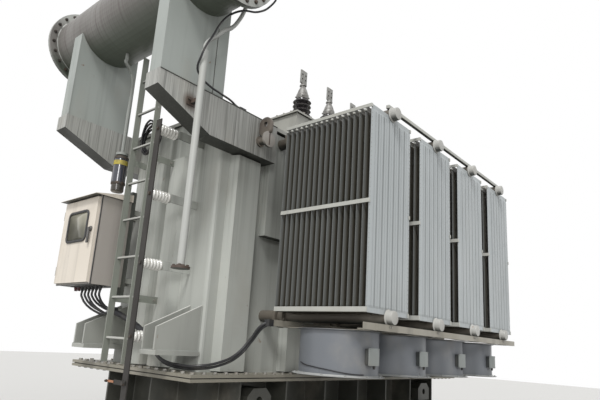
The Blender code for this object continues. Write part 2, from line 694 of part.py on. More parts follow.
# Conservator: a rolled shell with a flange at each end, closed by bolted covers
def build_shell():
    flange = END_FLANGE_THICK
    length = 2 * CONSERVATOR_HALF_LENGTH
    profile = [(0, 0), (END_FLANGE_RADIUS, 0), (END_FLANGE_RADIUS, flange), (CONSERVATOR_RADIUS, flange),
               (CONSERVATOR_RADIUS, length - flange), (END_FLANGE_RADIUS, length - flange),
               (END_FLANGE_RADIUS, length), (0, length)]
    centre = (CONSERVATOR_X, -CONSERVATOR_HALF_LENGTH, CONSERVATOR_LEVEL)
    return turned(profile, centre, "Y", CONSERVATOR_SIDES)


def build_end_cover(side):
    start = CONSERVATOR_HALF_LENGTH + SEAT_GAP
    y = start if side > 0 else -start - END_COVER_THICK
    return rod((CONSERVATOR_X, y, CONSERVATOR_LEVEL), END_FLANGE_RADIUS, END_COVER_THICK, "Y",
               CONSERVATOR_SIDES)


place("conservator_shell", build_shell(), TANK_PAINT, unit, True)
place("conservator_cover_near", build_end_cover(-1), TANK_PAINT, unit, True)
place("conservator_cover_far", build_end_cover(1), TANK_PAINT, unit, True)


# Panel radiators: pressed panels threaded on a top and a bottom header
def panel_outline(x, y):
    half, thick = PANEL_WIDTH / 2, PANEL_THICK / 2
    flat = half - PANEL_EDGE
    return [(x - half, y), (x - flat, y - thick), (x + flat, y - thick),
            (x + half, y), (x + flat, y + thick), (x - flat, y + thick)]


def strap_outline(x, side):
    """A flat strap past every panel's edge, hooked over the first and the last panel."""
    edge = x + side * (PANEL_WIDTH / 2 + SEAT_GAP)
    outer = edge + side * STRAP_THICK
    hook = edge - side * STRAP_HOOK
    first, last = RADIATOR_OUTER - PANEL_THICK / 2, RADIATOR_INNER + PANEL_THICK / 2
    return [(outer, first), (outer, last), (hook, last), (hook, last - STRAP_THICK),
            (edge, last - STRAP_THICK), (edge, first + STRAP_THICK), (hook, first + STRAP_THICK), (hook, first)]


def build_radiator(x):
    shapes = []
    for index in range(PANEL_COUNT):
        y = RADIATOR_INNER - index * PANEL_PITCH
        shapes.append(prism(panel_outline(x, y), "Z", PANEL_FOOT, PANEL_FOOT + PANEL_HEIGHT))
    for level in (BOTTOM_HEADER_LEVEL, TOP_HEADER_LEVEL):
        wall = TANK_HALF_WIDTH + (STIFFENER_DEPTH if level > BOTTOM_HEADER_LEVEL else 0) + SEAT_GAP
        outer = RADIATOR_OUTER - HEADER_CAP_REACH
        far, near = -wall - outer, RADIATOR_INNER + 2 * PANEL_PITCH - outer
        valve = near + VALVE_LENGTH
        profile = [(0, 0), (HEADER_RADIUS, 0), (HEADER_RADIUS, near), (HEADER_FLANGE_RADIUS, near),
                   (HEADER_FLANGE_RADIUS, near + HEADER_FLANGE_THICK), (VALVE_RADIUS, near + HEADER_FLANGE_THICK),
                   (VALVE_RADIUS, valve), (HEADER_FLANGE_RADIUS, valve),
                   (HEADER_FLANGE_RADIUS, valve + HEADER_FLANGE_THICK), (HEADER_RADIUS, valve + HEADER_FLANGE_THICK),
                   (HEADER_RADIUS, far), (0, far)]
        shapes.append(turned(profile, (x, outer, level), "Y", HEADER_SIDES))
    strap_foot = PANEL_FOOT + PANEL_HEIGHT * STRAP_LEVEL_SHARE
    bottom_foot = PANEL_FOOT + STRAP_THICK
    for side in (-1, 1):
        outline = strap_outline(x, side)
        shapes.append(prism(outline, "Z", strap_foot, strap_foot + STRAP_HEIGHT))
        shapes.append(prism(outline, "Z", bottom_foot, bottom_foot + BOTTOM_STRAP_HEIGHT))
    return fused(shapes)


def radiator_x(index):
    return RADIATOR_MIDDLE + (index - (RADIATOR_COUNT - 1) / 2) * RADIATOR_PITCH


for number in range(RADIATOR_COUNT):
    place(f"radiator_{number + 1}", build_radiator(radiator_x(number)), RADIATOR_PAINT, unit)


# Fans: rolled shrouds with bell mouths, motor arms inside and a junction box outside
def build_shroud(x):
    inner = FAN_RADIUS - FAN_WALL
    rim = FAN_RADIUS + FAN_RIM_WIDTH
    profile = [(inner, FAN_FOOT), (FAN_MOUTH_RADIUS, FAN_FOOT), (FAN_MOUTH_RADIUS, FAN_FOOT + FAN_RIM_THICK),
               (FAN_RADIUS, FAN_FOOT + FAN_RIM_THICK), (FAN_RADIUS, FAN_TOP - FAN_RIM_THICK),
               (rim, FAN_TOP - FAN_RIM_THICK), (rim, FAN_TOP), (inner, FAN_TOP)]
    ring = turned(profile, (x, FAN_Y, 0), sides=FAN_SIDES)
    motor_foot = FAN_TOP - FAN_MOTOR_LENGTH
    motor = rod((x, FAN_Y, motor_foot), FAN_MOTOR_RADIUS, FAN_MOTOR_LENGTH, sides=HEADER_SIDES)
    arm_top = FAN_TOP - FAN_RIM_THICK
    across = block((x - FAN_RADIUS + FAN_WALL / 2, FAN_Y - FAN_ARM_WIDTH / 2, arm_top - FAN_ARM_HEIGHT),
                   (x + FAN_RADIUS - FAN_WALL / 2, FAN_Y + FAN_ARM_WIDTH / 2, arm_top))
    along = block((x - FAN_ARM_WIDTH / 2, FAN_Y - FAN_RADIUS + FAN_WALL / 2, arm_top - FAN_ARM_HEIGHT),
                  (x + FAN_ARM_WIDTH / 2, FAN_Y + FAN_RADIUS - FAN_WALL / 2, arm_top))
    box = block((-FAN_BOX_WIDTH / 2, -FAN_RADIUS - FAN_BOX_DEPTH, FAN_TOP - FAN_HEIGHT * 0.60),
                (FAN_BOX_WIDTH / 2, -FAN_RADIUS + FAN_WALL / 2, FAN_TOP - FAN_HEIGHT * 0.60 + FAN_BOX_HEIGHT))
    angle = math.radians(90 + FAN_BOX_ANGLE_DEG)
    box.transform(Matrix.Translation((x, FAN_Y, 0)) @ Matrix.Rotation(angle, 4, "Z"))
    return fused([ring, motor, across, along, box])


def build_rotor(x):
    motor_foot = FAN_TOP - FAN_MOTOR_LENGTH
    hub_foot = motor_foot - SEAT_GAP - FAN_HUB_HEIGHT
    shapes = [rod((x, FAN_Y, hub_foot), FAN_HUB_RADIUS, FAN_HUB_HEIGHT, sides=HEADER_SIDES)]
    reach = FAN_RADIUS - FAN_WALL - FAN_BLADE_GAP
    for index in range(FAN_BLADE_COUNT):
        blade = block((FAN_HUB_RADIUS - 2 * OVERRUN, -FAN_BLADE_CHORD / 2, -FAN_BLADE_THICK / 2),
                      (reach - FAN_BLADE_GAP, FAN_BLADE_CHORD / 2, FAN_BLADE_THICK / 2))
        twist = Matrix.Rotation(math.radians(FAN_BLADE_PITCH_DEG), 4, "X")
        turn = Matrix.Rotation(math.tau * index / FAN_BLADE_COUNT, 4, "Z")
        lift = Matrix.Translation((x, FAN_Y, hub_foot + FAN_HUB_HEIGHT / 2))
        blade.transform(lift @ turn @ twist)
        shapes.append(blade)
    return fused(shapes)


for number in range(RADIATOR_COUNT):
    place(f"fan_shroud_{number + 1}", build_shroud(radiator_x(number)), FAN_PAINT, unit, True)
    place(f"fan_rotor_{number + 1}", build_rotor(radiator_x(number)), FAN_PAINT, unit, True)


# Rails that carry the fans, hung from the bottom headers
def build_rails():
    first = radiator_x(0) - FAN_MOUTH_RADIUS
    last = radiator_x(RADIATOR_COUNT - 1) + FAN_MOUTH_RADIUS
    shapes = []
    flat_foot = FAN_TOP + SEAT_GAP
    rail_foot = flat_foot + RAIL_THICK / 2
    header_foot = BOTTOM_HEADER_LEVEL - HEADER_RADIUS * math.cos(math.pi / HEADER_SIDES) - SEAT_GAP
    for y in (RADIATOR_OUTER - RAIL_SIZE / 2, RADIATOR_INNER - RAIL_SIZE):
        angle = [(y, rail_foot), (y + RAIL_SIZE, rail_foot), (y + RAIL_SIZE, rail_foot + RAIL_THICK),
                 (y + RAIL_THICK, rail_foot + RAIL_THICK), (y + RAIL_THICK, rail_foot + RAIL_SIZE),
                 (y, rail_foot + RAIL_SIZE)]
        shapes.append(prism(angle, "X", first, last))
        for number in range(RADIATOR_COUNT):
            x = radiator_x(number)
            shapes.append(block((x - RAIL_HANGER_WIDTH / 2, y + RAIL_THICK / 4, rail_foot + RAIL_THICK),
                                (x + RAIL_HANGER_WIDTH / 2, y + RAIL_THICK * 1.25, header_foot)))
    for number in range(RADIATOR_COUNT):
        x = radiator_x(number)
        for side in (-1, 1):
            bar = x + side * FAN_RADIUS * CROSS_FLAT_SHARE
            shapes.append(block((bar - RAIL_HANGER_WIDTH / 2, RADIATOR_OUTER, flat_foot),
                                (bar + RAIL_HANGER_WIDTH / 2, RADIATOR_INNER - RAIL_THICK,
                                 flat_foot + RAIL_THICK)))
    return fused(shapes)


place("fan_rails", build_rails(), TANK_PAINT, unit)


# Ladder: flat stiles, round rungs and wall lugs
LADDER_FRONT = -TANK_HALF_LENGTH - LADDER_STANDOFF


def build_ladder():
    shapes = []
    stiles = (LADDER_PLACE, LADDER_PLACE + LADDER_WIDTH)
    for y in stiles:
        shapes.append(block((LADDER_FRONT, y, LADDER_FOOT),
                            (LADDER_FRONT + LADDER_STILE_DEPTH, y + LADDER_STILE_THICK, LADDER_TOP)))
        for level in LADDER_LUG_LEVELS:
            reach = -TANK_HALF_LENGTH - STIFFENER_DEPTH - SEAT_GAP
            shapes.append(block((LADDER_FRONT + LADDER_STILE_DEPTH - OVERRUN, y + LADDER_STILE_THICK / 4, level),
                                (reach, y + LADDER_STILE_THICK * 0.75, level + LADDER_LUG_WIDTH)))
    level = LADDER_FOOT + RUNG_FIRST
    while level < LADDER_TOP:
        shapes.append(rod((LADDER_FRONT + LADDER_STILE_DEPTH / 2, stiles[0] + LADDER_STILE_THICK / 2, level),
                          RUNG_RADIUS, LADDER_WIDTH, "Y", sides=10))
        level += RUNG_PITCH
    return fused(shapes)


place("ladder", build_ladder(), TANK_PAINT, unit)


# Jacking brackets: a thick plate under two tapered gussets
def build_jack_bracket(end, side):
    wall = end * (TANK_HALF_LENGTH + SEAT_GAP)
    tip = wall + end * JACK_REACH
    y = side * JACK_PLACE
    plate_top = JACK_LEVEL + JACK_PLATE_THICK
    plate = block((min(wall, tip), y - JACK_PLATE_WIDTH / 2, JACK_LEVEL),
                  (max(wall, tip), y + JACK_PLATE_WIDTH / 2, plate_top))
    outline = [(wall, plate_top - OVERRUN), (tip, plate_top - OVERRUN), (tip, plate_top + JACK_TIP_HEIGHT),
               (wall, plate_top + JACK_ROOT_HEIGHT)]
    shapes = [plate]
    for offset in (-JACK_GUSSET_SPACING / 2, JACK_GUSSET_SPACING / 2):
        start = y + offset - JACK_GUSSET_THICK / 2
        shapes.append(prism(outline, "Y", start, start + JACK_GUSSET_THICK))
    return fused(shapes)


number = 0
for end in (-1, 1):
    for side in (-1, 1):
        number += 1
        place(f"jack_bracket_{number}", build_jack_bracket(end, side), TANK_PAINT, unit)


# Earthing bar on ribbed post insulators
def build_bar():
    front = -TANK_HALF_LENGTH - BAR_STANDOFF
    return block((front - BAR_THICK, BAR_PLACE - BAR_WIDTH / 2, BAR_FOOT),
                 (front, BAR_PLACE + BAR_WIDTH / 2, BAR_TOP))


def build_post(level):
    start = -TANK_HALF_LENGTH - BAR_STANDOFF + SEAT_GAP
    length = POST_LENGTH - SEAT_GAP
    pitch = length / POST_SHED_COUNT
    profile = [(0, 0)]
    for index in range(POST_SHED_COUNT):
        foot = index * pitch
        profile += [(POST_CORE_RADIUS, foot), (POST_RADIUS, foot + pitch * POST_RIB_SHARE)]
    profile += [(POST_CORE_RADIUS, length), (0, length)]
    return turned(profile, (start, BAR_PLACE, level), "X", POST_SIDES)


place("earth_bar", build_bar(), DARK_STEEL, unit)
for number in range(POST_COUNT):
    place(f"bar_insulator_{number + 1}", build_post(post_level(number)), WHITE_GLAZE, unit, True)


# Control cabinet: an open-fronted steel box with a hinged door, on two wall brackets
CABINET_BACK = CABINET_FRONT + CABINET_DEPTH
CABINET_FAR = CABINET_NEAR + CABINET_WIDTH
CABINET_TOP = CABINET_FOOT + CABINET_HEIGHT
DOOR_BACK = CABINET_FRONT - SEAT_GAP
DOOR_FRONT = DOOR_BACK - DOOR_THICK
HINGE_Y = CABINET_FAR + HINGE_RADIUS
HINGE_X = DOOR_BACK - DOOR_THICK / 2


def build_cabinet_body():
    outer = block((CABINET_FRONT, CABINET_NEAR, CABINET_FOOT), (CABINET_BACK, CABINET_FAR, CABINET_TOP))
    hollow = block((CABINET_FRONT + CABINET_WALL, CABINET_NEAR + CABINET_WALL, CABINET_FOOT + CABINET_WALL),
                   (CABINET_BACK - CABINET_WALL, CABINET_FAR - CABINET_WALL, CABINET_TOP - CABINET_WALL))
    mouth = block((CABINET_FRONT - OVERRUN, CABINET_NEAR + CABINET_RIM, CABINET_FOOT + CABINET_RIM),
                  (CABINET_FRONT + CABINET_WALL + OVERRUN, CABINET_FAR - CABINET_RIM, CABINET_TOP - CABINET_RIM))
    return fused([outer], [hollow, mouth])


def build_door():
    leaf = block((DOOR_FRONT, CABINET_NEAR + DOOR_LIP, CABINET_FOOT + DOOR_LIP),
                 (DOOR_BACK, CABINET_FAR - DOOR_LIP, CABINET_TOP - DOOR_LIP))
    top = CABINET_TOP - DOOR_LIP - WINDOW_FROM_TOP
    far = CABINET_FAR - DOOR_LIP - WINDOW_FROM_HINGE
    opening = block((DOOR_FRONT - OVERRUN, far - WINDOW_WIDTH, top - WINDOW_HEIGHT),
                    (DOOR_BACK + OVERRUN, far, top))
    return fused([leaf], [opening])


def build_window():
    top = CABINET_TOP - DOOR_LIP - WINDOW_FROM_TOP - SEAT_GAP
    far = CABINET_FAR - DOOR_LIP - WINDOW_FROM_HINGE - SEAT_GAP
    middle = (DOOR_FRONT + DOOR_BACK) / 2
    return block((middle - WINDOW_THICK / 2, far - WINDOW_WIDTH + 2 * SEAT_GAP, top - WINDOW_HEIGHT + 2 * SEAT_GAP),
                 (middle + WINDOW_THICK / 2, far, top))


def build_handle():
    y = CABINET_NEAR + HANDLE_FROM_EDGE
    z = CABINET_TOP - HANDLE_FROM_TOP
    boss = rod((DOOR_FRONT - SEAT_GAP - HANDLE_STANDOFF, y, z), HANDLE_BOSS_RADIUS, HANDLE_STANDOFF, "X")
    lever = block((DOOR_FRONT - SEAT_GAP - HANDLE_STANDOFF - HANDLE_THICK, y - HANDLE_WIDTH / 2, z - HANDLE_LENGTH),
                  (DOOR_FRONT - SEAT_GAP - HANDLE_STANDOFF + OVERRUN, y + HANDLE_WIDTH / 2, z + HANDLE_WIDTH / 2))
    return fused([boss, lever])


def build_hood():
    foot = CABINET_TOP + SEAT_GAP
    front, back = CABINET_FRONT - DOOR_THICK - HOOD_LEDGE, CABINET_BACK
    outline = [(front, foot), (back, foot), (back, foot + HOOD_RISE), (front, foot + HOOD_THICK)]
    return prism(outline, "Y", CABINET_NEAR - HOOD_LEDGE / 2, CABINET_FAR + HOOD_LEDGE / 2)


def build_cabinet_bracket():
    start, end = CABINET_BACK + SEAT_GAP, -TANK_HALF_LENGTH - SEAT_GAP
    shapes = []
    near, far = CABINET_NEAR + BRACKET_BAR, TANK_HALF_WIDTH - BRACKET_BAR
    for level in (CABINET_FOOT + BRACKET_BAR, CABINET_TOP - 2 * BRACKET_BAR):
        for y in (near, far - BRACKET_BAR):
            shapes.append(block((start, y, level), (end, y + BRACKET_BAR, level + BRACKET_BAR)))
    for y in (near, far - BRACKET_BAR):
        shapes.append(block((start, y + OVERRUN, CABINET_FOOT + BRACKET_BAR + OVERRUN),
                            (start + BRACKET_BAR, y + BRACKET_BAR - OVERRUN, CABINET_TOP - BRACKET_BAR - OVERRUN)))
    shapes.append(block((start, near + OVERRUN, CABINET_FOOT + BRACKET_BAR + OVERRUN),
                        (start + BRACKET_BAR / 2, far - OVERRUN, CABINET_FOOT + 2 * BRACKET_BAR - OVERRUN)))
    return fused(shapes)


place("cabinet_body", build_cabinet_body(), CABINET_PAINT, unit)
place("cabinet_hood", build_hood(), CABINET_PAINT, unit)
place("cabinet_door", build_door(), CABINET_PAINT, unit)
place("cabinet_window", build_window(), WINDOW_GLASS, unit)
place("cabinet_handle", build_handle(), BARE_METAL, unit)
place("cabinet_bracket", build_cabinet_bracket(), TANK_PAINT, unit)


# Drain pipe down the end of the tank, with a blank flange at its foot
def build_downpipe():
    y = -(TANK_HALF_WIDTH + BEAM_THICK + DOWNPIPE_GAP + DOWNPIPE_RADIUS)
    profile = [(0, DOWNPIPE_FOOT), (DOWNPIPE_FLANGE_RADIUS, DOWNPIPE_FOOT),
               (DOWNPIPE_FLANGE_RADIUS, DOWNPIPE_FOOT + DOWNPIPE_FLANGE_THICK),
               (DOWNPIPE_RADIUS, DOWNPIPE_FOOT + DOWNPIPE_FLANGE_THICK),
               (DOWNPIPE_RADIUS, DOWNPIPE_TOP), (0, DOWNPIPE_TOP)]
    pipe = turned(profile, (DOWNPIPE_PLACE, y, 0))
    clamp_foot = BEAM_FOOT + BEAM_DEPTH / 2
    clamp = block((DOWNPIPE_PLACE - DOWNPIPE_RADIUS / 2, y, clamp_foot),
                  (DOWNPIPE_PLACE + DOWNPIPE_RADIUS / 2, -(TANK_HALF_WIDTH + BEAM_THICK + 2 * SEAT_GAP),
                   clamp_foot + DOWNPIPE_RADIUS))
    return fused([pipe, clamp])


place("drain_pipe", build_downpipe(), TANK_PAINT, unit, True)


# Dehydrating breather: a gel-filled cylinder on its pipe from the conservator
def build_breather():
    foot, top = BREATHER_FOOT, BREATHER_FOOT + BREATHER_HEIGHT
    cup = BREATHER_RADIUS * 0.8
    profile = [(0, foot), (cup, foot), (cup, foot + BREATHER_HEIGHT * 0.15),
               (BREATHER_RADIUS, foot + BREATHER_HEIGHT * 0.20), (BREATHER_RADIUS, top - BREATHER_HEIGHT * 0.08),
               (cup, top), (0, top)]
    return turned(profile, (BREATHER_X, BREATHER_Y, 0), sides=24)


def build_breather_pipe():
    foot = BREATHER_FOOT + BREATHER_HEIGHT + SEAT_GAP
    top = CONSERVATOR_LEVEL - CONSERVATOR_RADIUS - SEAT_GAP
    bend = top - 2 * BREATHER_RADIUS
    flange = turned([(0, foot), (BREATHER_RADIUS * 0.6, foot), (BREATHER_RADIUS * 0.6, foot + FLANGE_THICK),
                     (0, foot + FLANGE_THICK)], (BREATHER_X, BREATHER_Y, 0))
    pipe = tube([(BREATHER_X, BREATHER_Y, foot + OVERRUN), (BREATHER_X, BREATHER_Y, (foot + bend) / 2),
                 (BREATHER_X, BREATHER_Y, bend - BREATHER_RADIUS / 2),
                 (CONSERVATOR_X, BREATHER_Y, bend + BREATHER_RADIUS),
                 (CONSERVATOR_X, BREATHER_Y, top)], BREATHER_PIPE_RADIUS)
    return fused([flange, pipe])


place("breather", build_breather(), SILICA, unit, True)
place("breather_pipe", build_breather_pipe(), TANK_PAINT, unit, True)


# Oil pipe from the conservator's underside down to the cover
def build_oil_pipe():
    y = OIL_PIPE_PLACE
    start = CONSERVATOR_LEVEL - CONSERVATOR_RADIUS - SEAT_GAP
    land_x = -TANK_HALF_LENGTH + HEADER_FLANGE_RADIUS + COVER_THICK
    land = COVER_TOP + SEAT_GAP
    mid_x = (CONSERVATOR_X + land_x) / 2
    route = [(CONSERVATOR_X, y, start), (CONSERVATOR_X, y, start - OIL_PIPE_RADIUS * 2),
             (mid_x, y, (start + land) / 2 - OIL_PIPE_RADIUS),
             (land_x, y, land + OIL_PIPE_RADIUS * 4), (land_x, y, land + FLANGE_THICK / 2)]
    foot = rod((land_x, y, land), HEADER_FLANGE_RADIUS, FLANGE_THICK)
    return fused([foot, tube(route, OIL_PIPE_RADIUS)])


place("oil_pipe", build_oil_pipe(), TANK_PAINT, unit, True)
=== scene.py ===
"""The finished look of the oil-filled power transformer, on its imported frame."""

import json
import math

import bmesh
import bpy
from mathutils import Matrix, Vector

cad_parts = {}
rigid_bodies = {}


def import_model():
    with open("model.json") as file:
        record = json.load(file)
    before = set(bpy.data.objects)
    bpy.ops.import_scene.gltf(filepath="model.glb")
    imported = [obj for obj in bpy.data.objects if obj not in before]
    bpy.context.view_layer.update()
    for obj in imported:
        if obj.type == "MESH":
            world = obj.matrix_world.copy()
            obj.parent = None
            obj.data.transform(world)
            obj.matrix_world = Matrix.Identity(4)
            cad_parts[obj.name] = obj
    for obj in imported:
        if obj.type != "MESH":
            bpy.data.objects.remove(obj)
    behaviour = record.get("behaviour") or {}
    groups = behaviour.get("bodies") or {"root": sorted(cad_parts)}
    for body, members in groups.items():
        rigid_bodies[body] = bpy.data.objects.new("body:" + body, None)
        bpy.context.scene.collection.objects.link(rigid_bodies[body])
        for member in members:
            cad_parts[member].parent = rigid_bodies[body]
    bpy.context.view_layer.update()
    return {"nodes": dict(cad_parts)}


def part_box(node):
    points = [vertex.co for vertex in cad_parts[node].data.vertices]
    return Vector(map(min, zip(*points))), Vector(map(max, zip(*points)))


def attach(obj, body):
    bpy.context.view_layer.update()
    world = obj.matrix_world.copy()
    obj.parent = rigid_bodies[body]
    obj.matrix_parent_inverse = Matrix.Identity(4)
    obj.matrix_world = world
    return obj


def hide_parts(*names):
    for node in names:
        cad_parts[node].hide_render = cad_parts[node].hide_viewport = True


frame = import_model()


# Camera: it stands low beyond the conservator end and looks up along the radiators, so that the
# frame cuts the conservator's top and the lower tank's foot.
CAMERA_PLACE = (-4.0, -3.37, 0.72)
CAMERA_RIGHT = (0.6434, -0.7633, 0.0603)
CAMERA_AHEAD = (0.7356, 0.6380, 0.2277)
SENSOR_WIDTH = 36
LENS_LENGTH = 30.76
RISE_PIXELS, FRAME_PIXELS = 25, 600
lens = bpy.data.cameras.new("view")
lens.sensor_width = SENSOR_WIDTH
lens.lens = LENS_LENGTH
lens.shift_y = RISE_PIXELS / FRAME_PIXELS
camera = bpy.data.objects.new("view", lens)
bpy.context.scene.collection.objects.link(camera)
ahead = Vector(CAMERA_AHEAD).normalized()
right = Vector(CAMERA_RIGHT).normalized()
up = right.cross(ahead).normalized()
right = ahead.cross(up)
turned = Matrix((right, up, -ahead)).transposed().to_4x4()
camera.matrix_world = Matrix.Translation(CAMERA_PLACE) @ turned
bpy.context.scene.camera = camera


# Floor and light: a pale floor under the tank, a white surround that only the camera
# and the gloss see, and soft lamps like a bright cloudy sky.
FLOOR_REACH = 14
FLOOR_GREY = (0.62, 0.61, 0.59, 1)
SKY_TINT = (0.965, 0.985, 1.0, 1)
WORLD_LIGHT = 0.56
LAMP_ANGLE_DEG = 14
LAMPS = (("sun", 2.3, (0.62, 0.30, -0.95)), ("fill", 0.55, (0.75, 0.65, -0.30)))
ground = bmesh.new()
bmesh.ops.create_grid(ground, x_segments=1, y_segments=1, size=FLOOR_REACH)
ground_mesh = bpy.data.meshes.new("floor")
ground.to_mesh(ground_mesh)
ground.free()
floor = bpy.data.objects.new("floor", ground_mesh)
bpy.context.scene.collection.objects.link(floor)
floor_paint = bpy.data.materials.new("floor_paint")
floor_paint.use_nodes = True
floor_shader = floor_paint.node_tree.nodes["Principled BSDF"]
floor_shader.inputs["Base Color"].default_value = FLOOR_GREY
floor_shader.inputs["Roughness"].default_value = 0.85
floor.data.materials.append(floor_paint)
world = bpy.data.worlds.new("sky")
bpy.context.scene.world = world
world.use_nodes = True
sky = world.node_tree
sky_light = sky.nodes["Background"]
sky_light.inputs["Color"].default_value = SKY_TINT
sky_light.inputs["Strength"].default_value = WORLD_LIGHT
sky_seen = sky.nodes.new("ShaderNodeBackground")
sky_seen.inputs["Color"].default_value = (1, 1, 1, 1)
sky_path = sky.nodes.new("ShaderNodeLightPath")
sky_pick = sky.nodes.new("ShaderNodeMixShader")
sky_white = sky_path.outputs["Is Camera Ray"]
for ray in ("Is Glossy Ray", "Is Transmission Ray"):
    either = sky.nodes.new("ShaderNodeMath")
    either.operation = "MAXIMUM"
    sky.links.new(sky_white, either.inputs[0])
    sky.links.new(sky_path.outputs[ray], either.inputs[1])
    sky_white = either.outputs["Value"]
sky.links.new(sky_white, sky_pick.inputs["Fac"])
sky.links.new(sky_light.outputs["Background"], sky_pick.inputs[1])
sky.links.new(sky_seen.outputs["Background"], sky_pick.inputs[2])
sky.links.new(sky_pick.outputs["Shader"], sky.nodes["World Output"].inputs["Surface"])
for name, strength, direction in LAMPS:
    lamp = bpy.data.lights.new(name, "SUN")
    lamp.energy = strength
    lamp.angle = math.radians(LAMP_ANGLE_DEG)
    lamp_object = bpy.data.objects.new(name, lamp)
    bpy.context.scene.collection.objects.link(lamp_object)
    lamp_object.rotation_euler = Vector(direction).to_track_quat("-Z", "Y").to_euler()
bpy.context.scene.view_settings.view_transform = "Standard"


# Lower tank: a shallow welded tray of thick plate that carries the core, with ribs and towing
# brackets, sprayed grey. It stands lowest, in the shadow under the flange, and its grey is darkened
# nearly to black: partly grime, partly painted shade.
BASE_GREY_SHADOWED = (0.062, 0.062, 0.052)
DUST_BROWN = (0.33, 0.30, 0.25)
RUST_BROWN = (0.20, 0.085, 0.035)
# Near black for the faces that look down: painted shade.
DOWNWARD_SHADE_BLACK = (0.024, 0.026, 0.021)
PALER, DARKER = 1.10, 0.62
ENAMEL_GLOSS = 0.42
SKIN_DEPTH = 0.0006


def patch(tree, place, stretch, low, high):
    """A soft-edged mask of noise, stretched along the axes, between two noise levels."""
    mapping = tree.nodes.new("ShaderNodeMapping")
    mapping.inputs["Scale"].default_value = stretch
    tree.links.new(place, mapping.inputs["Vector"])
    noise = tree.nodes.new("ShaderNodeTexNoise")
    noise.inputs["Scale"].default_value = 1.0
    noise.inputs["Detail"].default_value = 5.0
    tree.links.new(mapping.outputs["Vector"], noise.inputs["Vector"])
    return ramp(tree, noise.outputs["Fac"], low, high)


def ramp(tree, level, start, end):
    """A smooth step from 0 at the start level to 1 at the end level."""
    band = tree.nodes.new("ShaderNodeMapRange")
    band.interpolation_type = "SMOOTHSTEP"
    band.inputs["From Min"].default_value = start
    band.inputs["From Max"].default_value = end
    tree.links.new(level, band.inputs["Value"])
    return band.outputs["Result"]


def coat(tree, under, colour, mask, strength):
    """One colour laid over another where the mask is light."""
    weight = tree.nodes.new("ShaderNodeMath")
    weight.operation = "MULTIPLY"
    weight.inputs[1].default_value = strength
    tree.links.new(mask, weight.inputs[0])
    mix = tree.nodes.new("ShaderNodeMix")
    mix.data_type = "RGBA"
    tree.links.new(weight.outputs["Value"], mix.inputs[0])
    if isinstance(under, tuple):
        mix.inputs[6].default_value = (*under, 1)
    else:
        tree.links.new(under, mix.inputs[6])
    mix.inputs[7].default_value = (*colour, 1)
    return mix.outputs[2]


def surface(name):
    """An empty material with its tree, its shader and Object coordinates."""
    material = bpy.data.materials.new(name)
    material.use_nodes = True
    tree = material.node_tree
    place = tree.nodes.new("ShaderNodeTexCoord").outputs["Object"]
    return material, tree, tree.nodes["Principled BSDF"], place


def relief(tree, shader, place, scale, depth):
    """Fine unevenness of the surface."""
    noise = tree.nodes.new("ShaderNodeTexNoise")
    noise.inputs["Scale"].default_value = scale
    noise.inputs["Detail"].default_value = 3
    tree.links.new(place, noise.inputs["Vector"])
    bump = tree.nodes.new("ShaderNodeBump")
    bump.inputs["Strength"].default_value = 0.5
    bump.inputs["Distance"].default_value = depth
    tree.links.new(noise.outputs["Fac"], bump.inputs["Height"])
    tree.links.new(bump.outputs["Normal"], shader.inputs["Normal"])


def shade_facing_down(tree, look):
    """Painted shade: near black laid over every face that looks down."""
    facing = tree.nodes.new("ShaderNodeSeparateXYZ")
    normal = tree.nodes.new("ShaderNodeTexCoord").outputs["Normal"]
    tree.links.new(normal, facing.inputs["Vector"])
    down = tree.nodes.new("ShaderNodeMapRange")
    down.inputs["From Min"].default_value = -0.35
    down.inputs["From Max"].default_value = -0.85
    tree.links.new(facing.outputs["Z"], down.inputs["Value"])
    return coat(tree, look, DOWNWARD_SHADE_BLACK, down.outputs["Result"], 0.93)


def enamel(name, colour, rain=0.45, dust=0.35, rust=0.5, gloss=ENAMEL_GLOSS, streak=(11, 11, 0.7)):
    """Sprayed enamel with cloudy shade, rain streaks, dust and sparse rust, and painted shade on the faces
    that look down.
    """
    material, tree, shader, place = surface(name)
    pale = tuple(min(1, part * PALER) for part in colour)
    dark = tuple(part * DARKER for part in colour)
    look = coat(tree, colour, pale, patch(tree, place, (1.6, 1.6, 1.1), 0.42, 0.66), 0.8)
    look = coat(tree, look, dark, patch(tree, place, streak, 0.50, 0.78), rain)
    look = coat(tree, look, DUST_BROWN, patch(tree, place, (3.1, 3.1, 2.3), 0.52, 0.80), dust)
    look = coat(tree, look, RUST_BROWN, patch(tree, place, (17, 17, 9), 0.715, 0.76), rust)
    look = shade_facing_down(tree, look)
    tree.links.new(look, shader.inputs["Base Color"])
    rough = tree.nodes.new("ShaderNodeMapRange")
    rough.inputs["To Min"].default_value = gloss - 0.07
    rough.inputs["To Max"].default_value = gloss + 0.22
    tree.links.new(patch(tree, place, (5, 5, 2), 0.30, 0.75), rough.inputs["Value"])
    tree.links.new(rough.outputs["Result"], shader.inputs["Roughness"])
    relief(tree, shader, place, 55, SKIN_DEPTH)
    return material


def dress(material, *names):
    """Give CAD nodes a finished material in place of their plain one."""
    for name in names:
        for holder in frame["nodes"][name].material_slots:
            holder.material = material


base_enamel_shadowed = enamel("base_enamel_shadowed", BASE_GREY_SHADOWED, rain=0.6, dust=0.5, rust=0.9)
dress(base_enamel_shadowed, "lower_tank")


# Weld beads of the lower tank: where ribs, walls and brackets meet the base plate and walls.
# Each bead is a thin half-buried rod with a rippled, dull skin under the same enamel.
BEAD_RADIUS = 0.0045
# Darkened with the base: partly grime, partly painted shade from the flange above.
BASE_BEAD_GREY_SHADOWED = (0.10, 0.10, 0.088)
WALL_X, WALL_Y = 1.64, 0.49
BASE_TOP = 0.030
RIB_PITCH = 0.48
RIB_HALF = 0.008
RIB_FOOT = 0.45
END_RIB_Y = 0.27


